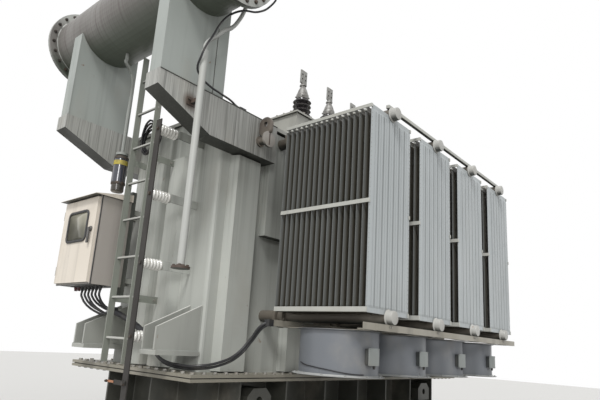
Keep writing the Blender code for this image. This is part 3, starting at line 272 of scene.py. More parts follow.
def piece(bm, name, material, body="root", crease_deg=35):
    """Turn a finished bmesh into a piece of the object that rides on a body."""
    mesh = bpy.data.meshes.new(name)
    bm.to_mesh(mesh)
    bm.free()
    mesh.materials.append(material)
    mesh.shade_smooth()
    mesh.set_sharp_from_angle(angle=math.radians(crease_deg))
    item = bpy.data.objects.new(name, mesh)
    bpy.context.scene.collection.objects.link(item)
    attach(item, body)
    return item


def bar(bm, start, end, radius, sides=8):
    """A round bar between two points."""
    start, end = Vector(start), Vector(end)
    run = end - start
    turn = run.to_track_quat("Z", "Y").to_matrix().to_4x4()
    return bmesh.ops.create_cone(bm, cap_ends=True, segments=sides, radius1=radius, radius2=radius,
                                 depth=run.length, matrix=Matrix.Translation((start + end) / 2) @ turn)


def rib_bead(bm, foot, top, out):
    """A bead up a rib's root and one out along its foot."""
    bar(bm, foot, top, BEAD_RADIUS)
    bar(bm, foot, out, BEAD_RADIUS)


base_bead = enamel("base_weld_bead", BASE_BEAD_GREY_SHADOWED, rain=0.6, rust=0.8)
beads = bmesh.new()
tank_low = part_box("tank_body")[0]
base_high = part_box("lower_tank")[1]
for side in (-1, 1):
    bar(beads, (-WALL_X, side * WALL_Y, BASE_TOP), (WALL_X, side * WALL_Y, BASE_TOP), BEAD_RADIUS)
    bar(beads, (side * WALL_X, -WALL_Y, BASE_TOP), (side * WALL_X, WALL_Y, BASE_TOP), BEAD_RADIUS)
    for face in (-RIB_HALF, RIB_HALF):
        for step in range(-3, 4):
            x, y = RIB_PITCH * step + face, side * WALL_Y
            rib_bead(beads, (x, y, BASE_TOP), (x, y, RIB_FOOT), (x, side * base_high.y, BASE_TOP))
        for rib in (-END_RIB_Y, END_RIB_Y):
            x, y = side * WALL_X, rib + face
            rib_bead(beads, (x, y, BASE_TOP), (x, y, RIB_FOOT), (side * base_high.x, y, BASE_TOP))
piece(beads, "lower_tank_welds", base_bead)


# Flanges: two thick flat steel bars welded round the walls, one on each tank, dusty on top, with
# yellowish worn edges.
FLANGE_OCHRE = (0.215, 0.200, 0.160)
flange_enamel = enamel("flange_enamel", FLANGE_OCHRE, rain=0.5, dust=0.75, rust=0.8)
dress(flange_enamel, "lower_flange", "upper_flange")


# Flange bolts: a row of hexagon bolts with washers all round the flange pair, heads above and
# smaller dark nuts below. The heads are galvanised and partly painted over.
BOLT_HEAD_RADIUS = 0.0150
BOLT_HEAD_HEIGHT = 0.010
WASHER_GROW = 0.019 / 0.0150
WASHER_SHARE = 0.003 / 0.0150
FLANGE_BOLT_PITCH = 0.092
FLANGE_BOLT_INSET = 0.045
NUT_RADIUS = 0.012
NUT_HEIGHT = 0.006
ZINC, ZINC_DULL = (0.40, 0.39, 0.36), (0.22, 0.17, 0.12)
BLACK_STEEL, BLACK_RUST = (0.060, 0.055, 0.05), (0.12, 0.07, 0.04)


def bolt(bm, place, out, head=BOLT_HEAD_RADIUS, height=BOLT_HEAD_HEIGHT, shank=0.0):
    """A washer, a hexagon head and, where asked, the end of the thread, standing out of a face."""
    out = Vector(out).normalized()
    turn = out.to_track_quat("Z", "Y").to_matrix().to_4x4()
    rise = 0.0
    steps = ((head * WASHER_GROW, head * WASHER_SHARE, 10), (head, height, 6), (head * 0.5, shank, 8))
    for radius, thick, sides in steps:
        if thick:
            middle = Vector(place) + out * (rise + thick / 2)
            bmesh.ops.create_cone(bm, cap_ends=True, segments=sides, radius1=radius, radius2=radius,
                                  depth=thick, matrix=Matrix.Translation(middle) @ turn)
            rise += thick


def two_tone(name, colour, stain, stretch, band, strength, rough=0.5):
    """A plain material with one stain in patches."""
    material, tree, shader, place = surface(name)
    look = coat(tree, colour, stain, patch(tree, place, stretch, *band), strength)
    tree.links.new(look, shader.inputs["Base Color"])
    shader.inputs["Roughness"].default_value = rough
    return material, tree, shader, place


def metal(name, colour, rough, tarnish, stain=0.5, plating=0.85):
    """Bare or plated metal, dulled in patches."""
    material, tree, shader, place = two_tone(name, colour, tarnish, (38, 38, 38), (0.40, 0.70), stain, rough)
    shader.inputs["Metallic"].default_value = plating
    relief(tree, shader, place, 90, 0.0004)
    return material


def rim_spots(low, high, inset, count_x, count_y):
    """Places along a rectangle's four sides, set in by the same inset."""
    wide, deep = high.x - low.x - 2 * inset, high.y - low.y - 2 * inset
    places = []
    for step in range(count_x + 1):
        x = low.x + inset + wide * step / count_x
        places += [(x, low.y + inset), (x, high.y - inset)]
    for step in range(1, count_y):
        y = low.y + inset + deep * step / count_y
        places += [(low.x + inset, y), (high.x - inset, y)]
    return places


zinc_bolts = metal("zinc_bolts", ZINC, 0.45, ZINC_DULL)
dark_bolts = metal("dark_bolts", BLACK_STEEL, 0.6, BLACK_RUST, plating=0.4)
row, nuts = bmesh.new(), bmesh.new()
low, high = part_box("upper_flange")
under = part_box("lower_flange")[0].z
along_x = int((high.x - low.x - 2 * FLANGE_BOLT_INSET) / FLANGE_BOLT_PITCH)
along_y = int((high.y - low.y - 2 * FLANGE_BOLT_INSET) / FLANGE_BOLT_PITCH)
for x, y in rim_spots(low, high, FLANGE_BOLT_INSET, along_x, along_y):
    bolt(row, (x, y, high.z), (0, 0, 1))
    bolt(nuts, (x, y, under), (0, 0, -1), head=NUT_RADIUS, height=NUT_HEIGHT)
piece(row, "flange_bolts", zinc_bolts)
piece(nuts, "flange_nuts", dark_bolts)


# Gasket: a strip of black rubber cork pressed between the two flanges by their bolts, and set
# back from the edge.
CORK_BLACK, CORK_DUST = (0.030, 0.030, 0.032), (0.085, 0.075, 0.06)
gasket_look, tree, shader, place = two_tone("gasket_rubber", CORK_BLACK, CORK_DUST, (30, 30, 60),
                                            (0.45, 0.7), 0.7, 0.75)
relief(tree, shader, place, 120, SKIN_DEPTH)
dress(gasket_look, "flange_gasket")


# Bell tank: folded steel walls with pressed box stiffeners, welded to the upper flange. Streaks
# run down from the cover and the beams, strongest near the top.
WALL_GREY = (0.430, 0.440, 0.405)
WALL_BEAD_GREY = (0.320, 0.328, 0.3024)
RUN_GREY, FINE_RUN_GREY = (0.115, 0.118, 0.100), (0.15, 0.15, 0.13)
RUN_FOOT, RUN_HEAD = 1.1, 2.35
TANK_X, TANK_Y = 1.70, 0.55
CORNER_CUT = 0.03
WELD_END = 0.02


def finished(material):
    """The tree, the shader, the place and the colour of a finished enamel, for one more layer."""
    tree = material.node_tree
    shader = tree.nodes["Principled BSDF"]
    place = tree.nodes["Texture Coordinate"].outputs["Object"]
    return tree, shader, place, shader.inputs["Base Color"].links[0].from_socket


wall_enamel = enamel("wall_enamel", WALL_GREY, rain=0.75, dust=0.3, streak=(7, 7, 0.35))
tree, shader, place, look = finished(wall_enamel)
level = tree.nodes.new("ShaderNodeSeparateXYZ")
tree.links.new(place, level.inputs["Vector"])
upper = tree.nodes.new("ShaderNodeMapRange")
upper.inputs["From Min"].default_value = RUN_FOOT
upper.inputs["From Max"].default_value = RUN_HEAD
tree.links.new(level.outputs["Z"], upper.inputs["Value"])
runs = tree.nodes.new("ShaderNodeMath")
runs.operation = "MULTIPLY"
tree.links.new(patch(tree, place, (13, 13, 0.30), 0.44, 0.70), runs.inputs[0])
tree.links.new(upper.outputs["Result"], runs.inputs[1])
look = coat(tree, look, RUN_GREY, runs.outputs["Value"], 0.75)
look = coat(tree, look, FINE_RUN_GREY, patch(tree, place, (40, 40, 0.55), 0.54, 0.74), 0.30)
tree.links.new(look, shader.inputs["Base Color"])
dress(wall_enamel, "tank_body")
bead_look = enamel("weld_bead", WALL_BEAD_GREY, rain=0.6, rust=0.8)
seams = bmesh.new()
foot = tank_low.z
for end in (-1, 1):
    for side in (-1, 1):
        bar(seams, (end * TANK_X, side * (TANK_Y - CORNER_CUT), foot),
            (end * (TANK_X - CORNER_CUT), side * TANK_Y, foot), BEAD_RADIUS)
for side in (-1, 1):
    y, x = side * (TANK_Y + 0.001), side * (TANK_X + 0.001)
    bar(seams, (WELD_END - TANK_X, y, foot), (TANK_X - WELD_END, y, foot), BEAD_RADIUS)
    bar(seams, (x, WELD_END - TANK_Y, foot), (x, TANK_Y - WELD_END, foot), BEAD_RADIUS)
piece(seams, "tank_foot_welds", bead_look)


# Cover: a flat plate bolted down on the walls, with a bolt every hand's width round its edge. It
# lies level, so dust settles on it.
COVER_GREY = (0.335, 0.335, 0.305)
COVER_BOLT_PITCH = 0.11
COVER_BOLT_INSET = 0.028
COVER_BOLT_HEAD = 0.013
cover_dust = enamel("cover_dust", COVER_GREY, rain=0.2, dust=0.8, rust=0.7, streak=(2.6, 2.6, 2.6))
dress(cover_dust, "tank_cover")
cover_bolts = bmesh.new()
low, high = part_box("tank_cover")
count_x = int((high.x - low.x) / COVER_BOLT_PITCH)
count_y = int((high.y - low.y) / COVER_BOLT_PITCH)


def edge_bolts(bm, low, high, inset, count_x, count_y, head):
    """Bolts at even steps along a lid's four edges, with none at the corners."""
    for step in range(1, count_x):
        x = low.x + (high.x - low.x) * step / count_x
        for y in (low.y + inset, high.y - inset):
            bolt(bm, (x, y, high.z), (0, 0, 1), head=head)
    for step in range(1, count_y):
        y = low.y + (high.y - low.y) * step / count_y
        for x in (low.x + inset, high.x - inset):
            bolt(bm, (x, y, high.z), (0, 0, 1), head=head)


edge_bolts(cover_bolts, low, high, COVER_BOLT_INSET, count_x, count_y, COVER_BOLT_HEAD)
piece(cover_bolts, "cover_bolts", zinc_bolts)


# Low-voltage turret: a welded sheet-steel box on the cover with a bolted lid, enamelled a shade
# warmer than the tank.
TURRET_GREY = (0.37, 0.365, 0.33)
LID_BOLT_INSET = 0.014
LID_BOLT_HEAD = 0.010
LID_STEPS = (13, 4)
turret_enamel = enamel("turret_enamel", TURRET_GREY, rain=0.3, dust=0.5, rust=0.3)
dress(turret_enamel, "lv_turret")
lid_bolts = bmesh.new()
edge_bolts(lid_bolts, *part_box("lv_turret"), LID_BOLT_INSET, *LID_STEPS, LID_BOLT_HEAD)
piece(lid_bolts, "turret_lid_bolts", zinc_bolts)


# Low-voltage bushings: dark glazed porcelain with drooping sheds, clamped to the lid by a metal
# foot ring, with a cast cap, a stud and a flat palm on top. The palm's four holes are dark discs
# set through it, painted shade in place of open holes.
SHED_COUNT = 5
SHED_PITCH = 0.044
SHED_RADIUS = 0.085
CORE_RADIUS = 0.052
FOOT_RADIUS = 0.100
FOOT_HEIGHT = 0.018
FOOT_BOLT_CIRCLE = 0.084
CAP_RADIUS = 0.058
STUD_RADIUS = 0.024
PALM_SIZE = (0.085, 0.014, 0.135)
PALM_EDGE = 0.0025
PALM_HOLE_PLACE = 0.0225
PALM_HOLE_RADIUS = 0.0085
SMALL_HEAD = 0.010
PORCELAIN, PORCELAIN_DUST = (0.035, 0.030, 0.032), (0.12, 0.11, 0.10)
CAST_GREY, CAST_DULL = (0.27, 0.265, 0.25), (0.11, 0.10, 0.09)
PALM_GREY, PALM_DULL = (0.30, 0.30, 0.28), (0.15, 0.13, 0.12)
# Colour of the palm holes: painted shade.
HOLE_SHADE_BLACK, HOLE_DUST = (0.030, 0.028, 0.026), (0.05, 0.04, 0.03)


def lathe(bm, outline, centre, axis="Z", sides=48):
    """Spin an open outline of (radius, height) pairs about an axis through the centre."""
    before = set(bm.verts)
    line = [bm.verts.new((radius, 0, height)) for radius, height in outline]
    edges = [bm.edges.new(pair) for pair in zip(line, line[1:])]
    bmesh.ops.spin(bm, geom=edges, cent=(0, 0, 0), axis=(0, 0, 1), steps=sides, angle=math.tau,
                   use_merge=True)
    fresh = [vert for vert in bm.verts if vert not in before]
    bmesh.ops.remove_doubles(bm, verts=fresh, dist=0.00002)
    fresh = [vert for vert in bm.verts if vert not in before]
    turn = {"Z": Matrix(), "X": Matrix.Rotation(math.pi / 2, 4, "Y"),
            "Y": Matrix.Rotation(-math.pi / 2, 4, "X")}[axis]
    bmesh.ops.transform(bm, matrix=Matrix.Translation(centre) @ turn, verts=fresh)
    faces = list({face for vert in fresh for face in vert.link_faces})
    bmesh.ops.recalc_face_normals(bm, faces=faces)


def glaze(name, colour, dust):
    """Glossy porcelain glaze with a film of dust in the hollows."""
    material, tree, shader, place = two_tone(name, colour, dust, (26, 26, 26), (0.48, 0.74), 0.5, 0.16)
    shader.inputs["Coat Weight"].default_value = 0.4
    relief(tree, shader, place, 40, 0.0003)
    return material


def block(bm, middle, size, turn=Matrix()):
    """A plain rectangular block."""
    stand = turn @ Matrix.Translation(middle) @ Matrix.Diagonal((*size, 1))
    return bmesh.ops.create_cube(bm, size=1, matrix=stand)["verts"]


def ease(bm, verts, offset, segments=2):
    """Round the edges that belong to these vertices."""
    edges = list({edge for vert in verts for edge in vert.link_edges})
    bmesh.ops.bevel(bm, geom=edges, offset=offset, affect="EDGES", segments=segments, profile=0.5,
                    material=-1)


def bolt_circle(bm, centre, radius, count, out, first=0.0, **sizes):
    """Bolts at even steps round a circle that lies across the way out."""
    upright = not Vector(out).z
    for step in range(count):
        angle = math.tau * (step + first) / count
        across, along = radius * math.cos(angle), radius * math.sin(angle)
        away = Vector((across, 0, along)) if upright else Vector((across, along, 0))
        bolt(bm, Vector(centre) + away, out, **sizes)


brown_glaze = glaze("dark_porcelain", PORCELAIN, PORCELAIN_DUST)
cap_metal = metal("cast_cap", CAST_GREY, 0.5, CAST_DULL, stain=0.8, plating=0.35)
palm_metal = metal("terminal_palm", PALM_GREY, 0.45, PALM_DULL, plating=0.35)
hole_shade_discs = metal("bolt_hole_shade", HOLE_SHADE_BLACK, 0.7, HOLE_DUST)
for number in (1, 2, 3):
    low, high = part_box(f"lv_bushing_{number}")
    x, y = (low.x + high.x) / 2, (low.y + high.y) / 2
    foot = low.z + FOOT_HEIGHT
    porcelain = bmesh.new()
    outline = [(0, foot - 0.004), (CORE_RADIUS + 0.012, foot - 0.004), (CORE_RADIUS + 0.010, foot + 0.004)]
    for shed in range(SHED_COUNT):
        level = foot + shed * SHED_PITCH
        outline += [(CORE_RADIUS, level + 0.006), (CORE_RADIUS + 0.004, level + 0.010),
                    (SHED_RADIUS - 0.006, level + 0.008), (SHED_RADIUS, level + 0.0125),
                    (SHED_RADIUS - 0.003, level + 0.018), (CORE_RADIUS + 0.014, level + 0.027),
                    (CORE_RADIUS + 0.002, level + 0.035)]
    top = foot + SHED_COUNT * SHED_PITCH
    outline += [(CORE_RADIUS, top), (0, top)]
    lathe(porcelain, outline, (x, y, 0))
    piece(porcelain, f"bushing_porcelain_{number}", brown_glaze)
    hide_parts(f"lv_bushing_{number}")
    fittings = bmesh.new()
    lathe(fittings, [(0, low.z), (FOOT_RADIUS, low.z), (FOOT_RADIUS, foot - 0.004),
                     (FOOT_RADIUS - 0.004, foot), (0, foot)], (x, y, 0))
    bolt_circle(fittings, (x, y, foot), FOOT_BOLT_CIRCLE, 6, (0, 0, 1), head=SMALL_HEAD, height=0.009)
    lathe(fittings, [(0, top), (CAP_RADIUS - 0.002, top), (CAP_RADIUS, top + 0.004),
                     (CAP_RADIUS, top + 0.042), (CAP_RADIUS - 0.004, top + 0.048), (0.040, top + 0.092),
                     (0.036, top + 0.100), (0.027, top + 0.123), (STUD_RADIUS, top + 0.127),
                     (STUD_RADIUS, top + 0.160), (0, top + 0.160)], (x, y, 0))
    for step in range(4):
        angle = math.tau * (step + 0.5) / 4
        out = Vector((math.cos(angle), math.sin(angle), 0))
        bolt(fittings, Vector((x, y, top + 0.022)) + out * 0.0575, out, head=0.008, height=0.008)
    lathe(fittings, [(STUD_RADIUS, top + 0.136), (0.034, top + 0.136), (0.034, top + 0.148),
                     (STUD_RADIUS, top + 0.148)], (x, y, 0), sides=6)
    piece(fittings, f"bushing_fittings_{number}", cap_metal)
    palm = bmesh.new()
    palm_z = high.z - PALM_SIZE[2] / 2
    ease(palm, block(palm, (x, y, palm_z), PALM_SIZE), PALM_EDGE)
    piece(palm, f"terminal_palm_{number}", palm_metal)
    # Dark discs through the palm stand for its holes: painted shade.
    holes = bmesh.new()
    through = Vector((0, PALM_SIZE[1] / 2 + 0.0003, 0))
    for row_z in (-PALM_HOLE_PLACE, PALM_HOLE_PLACE):
        for row_x in (-PALM_HOLE_PLACE, PALM_HOLE_PLACE):
            spot = Vector((x + row_x, y, palm_z + row_z))
            bar(holes, spot - through, spot + through, PALM_HOLE_RADIUS, 16)
    piece(holes, f"palm_hole_shades_{number}", hole_shade_discs)


# High-voltage turrets: three short flanged necks on the far side of the cover, closed by bolted
# blank covers until their bushings are fitted on site.
BLANK_BOLTS = 12
BLANK_BOLT_CIRCLE = 0.212
NECK_FLANGE = 0.020
dress(turret_enamel, "hv_turret_1", "hv_turret_2", "hv_turret_3")
blank_bolts = bmesh.new()
for number in (1, 2, 3):
    low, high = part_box(f"hv_turret_{number}")
    x, y = (low.x + high.x) / 2, (low.y + high.y) / 2
    for level in (high.z, low.z + NECK_FLANGE):
        bolt_circle(blank_bolts, (x, y, level), BLANK_BOLT_CIRCLE, BLANK_BOLTS, (0, 0, 1), head=0.012)
piece(blank_bolts, "blank_cover_bolts", zinc_bolts)


# Conservator beams: tapered box beams welded to the long walls, which carry the conservator.
# Their outer faces are the most weathered part, with dark and pale rain streaks, a brown stain
# round the drain pipe's clamp and grime along the upper seam.
BEAM_GREY, SEAM_BLACK = (0.360, 0.360, 0.335), (0.075, 0.074, 0.066)
DARK_STREAK, PALE_STREAK = (0.12, 0.12, 0.11), (0.55, 0.54, 0.51)
STAIN_BROWN = (0.095, 0.060, 0.042)
CLAMP_PLACE = (-2.118, -0.7045, 2.262)
STAIN_REACH = 0.085
SEAM_RADIUS = 0.0042
beam_enamel = enamel("beam_enamel", BEAM_GREY, rain=1.0, dust=0.6, rust=1.0, streak=(30, 30, 0.7))
dress(beam_enamel, "conservator_bracket_near", "conservator_bracket_far")
tree, shader, place, look = finished(beam_enamel)
look = coat(tree, look, DARK_STREAK, patch(tree, place, (95, 95, 1.6), 0.44, 0.68), 0.60)
look = coat(tree, look, PALE_STREAK, patch(tree, place, (75, 75, 1.3), 0.52, 0.74), 0.60)
reach = tree.nodes.new("ShaderNodeVectorMath")
reach.operation = "DISTANCE"
reach.inputs[1].default_value = CLAMP_PLACE
tree.links.new(place, reach.inputs[0])
halo = ramp(tree, reach.outputs["Value"], STAIN_REACH, STAIN_REACH / 3)
look = coat(tree, look, STAIN_BROWN, halo, 0.75)
# Painted shade again on the beams' faces that look down.
look = shade_facing_down(tree, look)
tree.links.new(look, shader.inputs["Base Color"])
seam_grime = enamel("seam_grime", SEAM_BLACK, rain=0.5, dust=0.3, rust=0.9)
beam_seams = bmesh.new()


def outward(node, side):
    """The corners of a node's box and the level of the long face on one side."""
    low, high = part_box(node)
    return low, high, low.y if side < 0 else high.y


for node, side in (("conservator_bracket_near", -1), ("conservator_bracket_far", 1)):
    low, high, face = outward(node, side)
    bar(beam_seams, (low.x + 0.004, face, high.z - 0.003), (high.x, face, high.z - 0.003), SEAM_RADIUS)
piece(beam_seams, "beam_seams", seam_grime)


# Lifting lugs and trunnions: on each beam a thick round-topped plate with a sling hole, above a
# round stub with a retaining disc that has a slot. Bare edges and the hole have rusted.
LUG_X = -1.45
LUG_RADIUS = 0.060
LUG_DROP = 0.066
LUG_HOLE = 0.021
LUG_THICK = 0.030
LUG_EDGE = 0.003
TRUNNION_DROP = 0.188
STUBS = ((0, 0.090, 0.030), (0, 0.012, 0.042))
DISC_START, DISC_END, DISC_RADIUS = 0.085, 0.103, 0.062
SLOT_SIZE = (0.011, 0.0016, 0.092)
rusty_steel = enamel("rusty_steel", (0.165, 0.138, 0.115), rain=0.7, dust=0.6, rust=1.0)
disc_enamel = enamel("disc_enamel", (0.34, 0.315, 0.29), rain=0.5, dust=0.6, rust=1.0)
slot_shade = enamel("slot_shade", (0.075, 0.055, 0.045), rain=0.3, dust=0.3, rust=0.8)


def thicken(item, thickness):
    """Give an open sheet its thickness, half to each side."""
    wall = item.modifiers.new("thickness", "SOLIDIFY")
    wall.thickness = thickness
    wall.offset = 0


for side, node in ((-1, "conservator_bracket_near"), (1, "conservator_bracket_far")):
    low, high, face = outward(node, side)
    label = node[-4:].strip("_")
    centre = Vector((LUG_X, face + side * LUG_RADIUS, high.z - LUG_RADIUS - 0.004))
    upright = Matrix.Translation(centre) @ Matrix.Rotation(math.pi / 2, 4, "Y")
    lug = bmesh.new()
    rim = bmesh.ops.create_circle(lug, segments=32, radius=LUG_RADIUS, matrix=upright)["verts"]
    bmesh.ops.create_circle(lug, segments=32, radius=LUG_HOLE, matrix=upright)
    bmesh.ops.bridge_loops(lug, edges=lug.edges[:])
    lower = [vert for vert in rim if vert.co.z < centre.z - 0.002]
    bmesh.ops.translate(lug, verts=lower, vec=(0, 0, -LUG_DROP / 2))
    inward = [vert for vert in rim if (vert.co.y - centre.y) * side < -0.002]
    bmesh.ops.translate(lug, verts=inward, vec=(0, -side * 0.004, 0))
    item = piece(lug, f"lifting_lug_{label}", rusty_steel)
    thicken(item, LUG_THICK)
    round_off = item.modifiers.new("worn_edges", "BEVEL")
    round_off.width = LUG_EDGE
    round_off.segments = 2
    level = high.z - TRUNNION_DROP
    stub = bmesh.new()
    for start, end, radius in STUBS:
        bar(stub, (LUG_X, face + start, level), (LUG_X, face + side * end, level), radius, 32)
    piece(stub, f"trunnion_{label}", rusty_steel)
    disc = bmesh.new()
    start, end = (LUG_X, face + side * DISC_START, level), (LUG_X, face + side * DISC_END, level)
    bar(disc, start, end, DISC_RADIUS, 40)
    ease(disc, disc.verts, 0.002)
    piece(disc, f"trunnion_disc_{label}", disc_enamel)
    # The slot is a thin dark strip laid on the disc's face: painted shade in place of a cut slot.
    slot = bmesh.new()
    block(slot, (LUG_X, face + side * (DISC_END + 0.0005), level), SLOT_SIZE)
    piece(slot, f"trunnion_slot_{label}", slot_shade)


# Columns: pressed steel columns with saddles that carry the conservator, welded to the beams at
# their feet. Grime marks that weld and the seam up each column.
COLUMN_GREY = (0.345, 0.368, 0.345)
COLUMN_SEAM_RADIUS = 0.0032
column_enamel = enamel("column_enamel", COLUMN_GREY, rain=0.7, rust=0.7, streak=(14, 14, 0.6))
dress(column_enamel, "conservator_support_near", "conservator_support_far")
column_seams = bmesh.new()
for node, side in (("conservator_support_near", -1), ("conservator_support_far", 1)):
    low, high, face = outward(node, side)
    x = high.x - 0.10
    bar(column_seams, (x, face, low.z + 0.004), (x, face, high.z - 0.21), COLUMN_SEAM_RADIUS)
    bar(column_seams, (low.x, face, low.z + 0.002), (high.x, face, low.z + 0.002), BEAD_RADIUS)
piece(column_seams, "column_welds", seam_grime)


# Conservator: a rolled steel shell along the end of the tank, with a welded ring flange at each
# end and bolted covers. Dust and runs follow the rolling. The brown of the sides is darkened as
# painted shade, the dark green band below is painted shade and the pale band on top is painted light.
END_BOLTS = 22
END_BOLT_CIRCLE = 0.313
END_FLANGE = 0.018
# Base brown darkened as painted shade; the bands lay painted shade under the shell and painted light on top.
SHELL_BROWN_SHADED, SHELL_PALE = (0.175, 0.165, 0.152), (0.25, 0.24, 0.225)
SHELL_SHADE_AND_LIGHT_BANDS = ((3.16, 2.99, (0.055, 0.070, 0.050), 0.85), (3.32, 3.50, (0.50, 0.51, 0.48), 0.75))
shell_enamel_lit_and_shaded, tree, shader, place = surface("shell_enamel_lit_and_shaded")
look = coat(tree, SHELL_BROWN_SHADED, SHELL_PALE, patch(tree, place, (2.2, 2.2, 2.2), 0.42, 0.66), 0.6)
look = coat(tree, look, (0.12, 0.10, 0.092), patch(tree, place, (1.2, 46, 1.2), 0.46, 0.70), 0.75)
look = coat(tree, look, (0.085, 0.075, 0.070), patch(tree, place, (2.5, 110, 2.5), 0.50, 0.72), 0.6)
height = tree.nodes.new("ShaderNodeSeparateXYZ")
tree.links.new(place, height.inputs["Vector"])
for start, end, colour, strength in SHELL_SHADE_AND_LIGHT_BANDS:
    look = coat(tree, look, colour, ramp(tree, height.outputs["Z"], start, end), strength)
tree.links.new(look, shader.inputs["Base Color"])
shader.inputs["Roughness"].default_value = 0.48
relief(tree, shader, place, 30, 0.0008)
dress(shell_enamel_lit_and_shaded, "conservator_shell")
cover_enamel = enamel("end_cover_enamel", (0.34, 0.345, 0.32), rain=0.5, dust=0.45, rust=0.6)
dress(cover_enamel, "conservator_cover_near", "conservator_cover_far")
near_low, near_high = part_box("conservator_cover_near")
far_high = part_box("conservator_cover_far")[1]
axis_x, axis_z = (near_low.x + near_high.x) / 2, (near_low.z + near_high.z) / 2
shell_low, shell_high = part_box("conservator_shell")
# The far cover's bolts show only their washers, so they stay inside the box of the solids.
ring = bmesh.new()
for y, out, sizes in ((near_low.y, -1, {}),
                      (shell_low.y + END_FLANGE, 1, {"shank": 0.010}),
                      (far_high.y - 0.0022, 1, {"height": 0}),
                      (shell_high.y - END_FLANGE, -1, {"shank": 0.010})):
    bolt_circle(ring, (axis_x, y, axis_z), END_BOLT_CIRCLE, END_BOLTS, (0, out, 0), 0.5, head=0.012, **sizes)
piece(ring, "end_cover_bolts", dark_bolts)
shell_welds = bmesh.new()
for y in (shell_low.y + END_FLANGE, shell_high.y - END_FLANGE):
    lathe(shell_welds, [(0.280, -0.005), (0.286, 0), (0.280, 0.005)], (axis_x, y, axis_z), "Y")
piece(shell_welds, "shell_welds", bead_look)


# Oil gauge: a round dial on the near end cover, with a black cast case, a white face with plain
# marks and a red pointer, held against the cover by its case.
GAUGE_RADIUS = 0.090
GAUGE_THICK = 0.055
DIAL_WHITE, DIAL_YELLOWED = (0.72, 0.72, 0.68), (0.52, 0.50, 0.44)
POINTER_RED, POINTER_FADED = (0.42, 0.035, 0.025), (0.25, 0.05, 0.04)
MARK_COUNT = 11
MARK_START_DEG, MARK_STEP_DEG = 225, 27
gauge_face = near_low.y - GAUGE_THICK
case = bmesh.new()
lathe(case, [(0, -0.0003), (0.078, -0.0003), (0.078, -0.020), (GAUGE_RADIUS, -0.024), (GAUGE_RADIUS, -0.050),
             (0.086, -0.0548), (0.074, -0.0548), (0.071, -0.047), (0, -0.047)],
      (axis_x, near_low.y, axis_z), "Y")
piece(case, "gauge_case", dark_bolts)
white_face = two_tone("dial_face", DIAL_WHITE, DIAL_YELLOWED, (22, 22, 22), (0.48, 0.75), 0.6, 0.35)[0]
dial = bmesh.new()
lathe(dial, [(0.068, 0), (0.068, -0.0006), (0, -0.0006)], (axis_x, gauge_face + 0.0078, axis_z), "Y")
piece(dial, "gauge_dial", white_face)
marks = bmesh.new()
middle = Vector((axis_x, gauge_face + 0.0070, axis_z))
for step in range(MARK_COUNT):
    angle = math.radians(MARK_START_DEG - MARK_STEP_DEG * step)
    out = Vector((math.cos(angle), 0, math.sin(angle)))
    bar(marks, middle + out * 0.052, middle + out * 0.063, 0.0012, 6)
piece(marks, "gauge_marks", dark_bolts)
red_paint = two_tone("pointer_red", POINTER_RED, POINTER_FADED, (40, 40, 40), (0.45, 0.7), 0.6)[0]
pointer = bmesh.new()
bar(pointer, middle + Vector((0.012, -0.002, -0.008)), middle + Vector((-0.042, -0.002, 0.028)), 0.0018, 6)
bar(pointer, middle + Vector((0, 0.001, 0)), middle + Vector((0, -0.004, 0)), 0.007, 16)
piece(pointer, "gauge_pointer", red_paint)


# Radiators: pressed steel panels with seven flutes each, threaded on a header at the top and the
# bottom, sprayed a smooth mid grey. Flat straps tie the panels' edges at three heights, with a
# row of small round bumps under the top strap.
PANEL_COUNT = 17
PANEL_PITCH = 0.0462
PANEL_WIDTH = 0.52
PANEL_HALF_THICK = 0.0055
PANEL_RIM = 0.020
FLUTE_COUNT = 7
FLUTE_FORM = ((0.16, 1), (0.44, 1), (0.50, 0.62), (0.56, 1), (0.84, 1), (1, 0.30))
HEADER_RADIUS = 0.044
HEADER_ROOTS = (-0.5503, -0.6203)
FLANGE_RADIUS, NECK_RADIUS = 0.085, 0.058
PANEL_INSET = 0.0968
PANEL_START = 0.055
PANEL_BAND = 0.030
PINCH = 0.014
# Width over which the painted shade between panels fades out towards each panel's edge.
GAP_SHADE_FADE = 0.030
STRAP_THICK, STRAP_HOOK, STRAP_EDGE = 0.006, 0.012, 0.0012
RADIATOR_GREY = (0.385, 0.410, 0.415)
# Painted shade: the panels darken deep between one another and along the flute grooves, where light does not
# reach.
PANEL_SHADE_LAYERS = (("panel_gap_shade", (0.050, 0.044, 0.030), 0.97), ("flute_shade", (0.060, 0.064, 0.062), 0.78))
panel_enamel = enamel("panel_enamel", RADIATOR_GREY, rain=0.30, dust=0.12, rust=0.0, gloss=0.36,
                      streak=(30, 30, 0.9))
tree, shader, place, look = finished(panel_enamel)
for layer, colour, strength in PANEL_SHADE_LAYERS:
    mark = tree.nodes.new("ShaderNodeAttribute")
    mark.attribute_name = layer
    look = coat(tree, look, colour, mark.outputs["Fac"], strength)
tree.links.new(look, shader.inputs["Base Color"])
strap_enamel = enamel("strap_enamel", (0.42, 0.42, 0.385), rain=0.35, dust=0.4, rust=0.4)
# The headers' near-black brown is partly rust, partly painted shade for the dark space under the radiators.
header_enamel_shaded = enamel("header_enamel_shaded", (0.120, 0.105, 0.085), rain=0.5, dust=0.5, rust=0.8)
end_cap_enamel = enamel("end_cap_enamel", (0.40, 0.395, 0.37), rain=0.5, dust=0.6, rust=0.8)


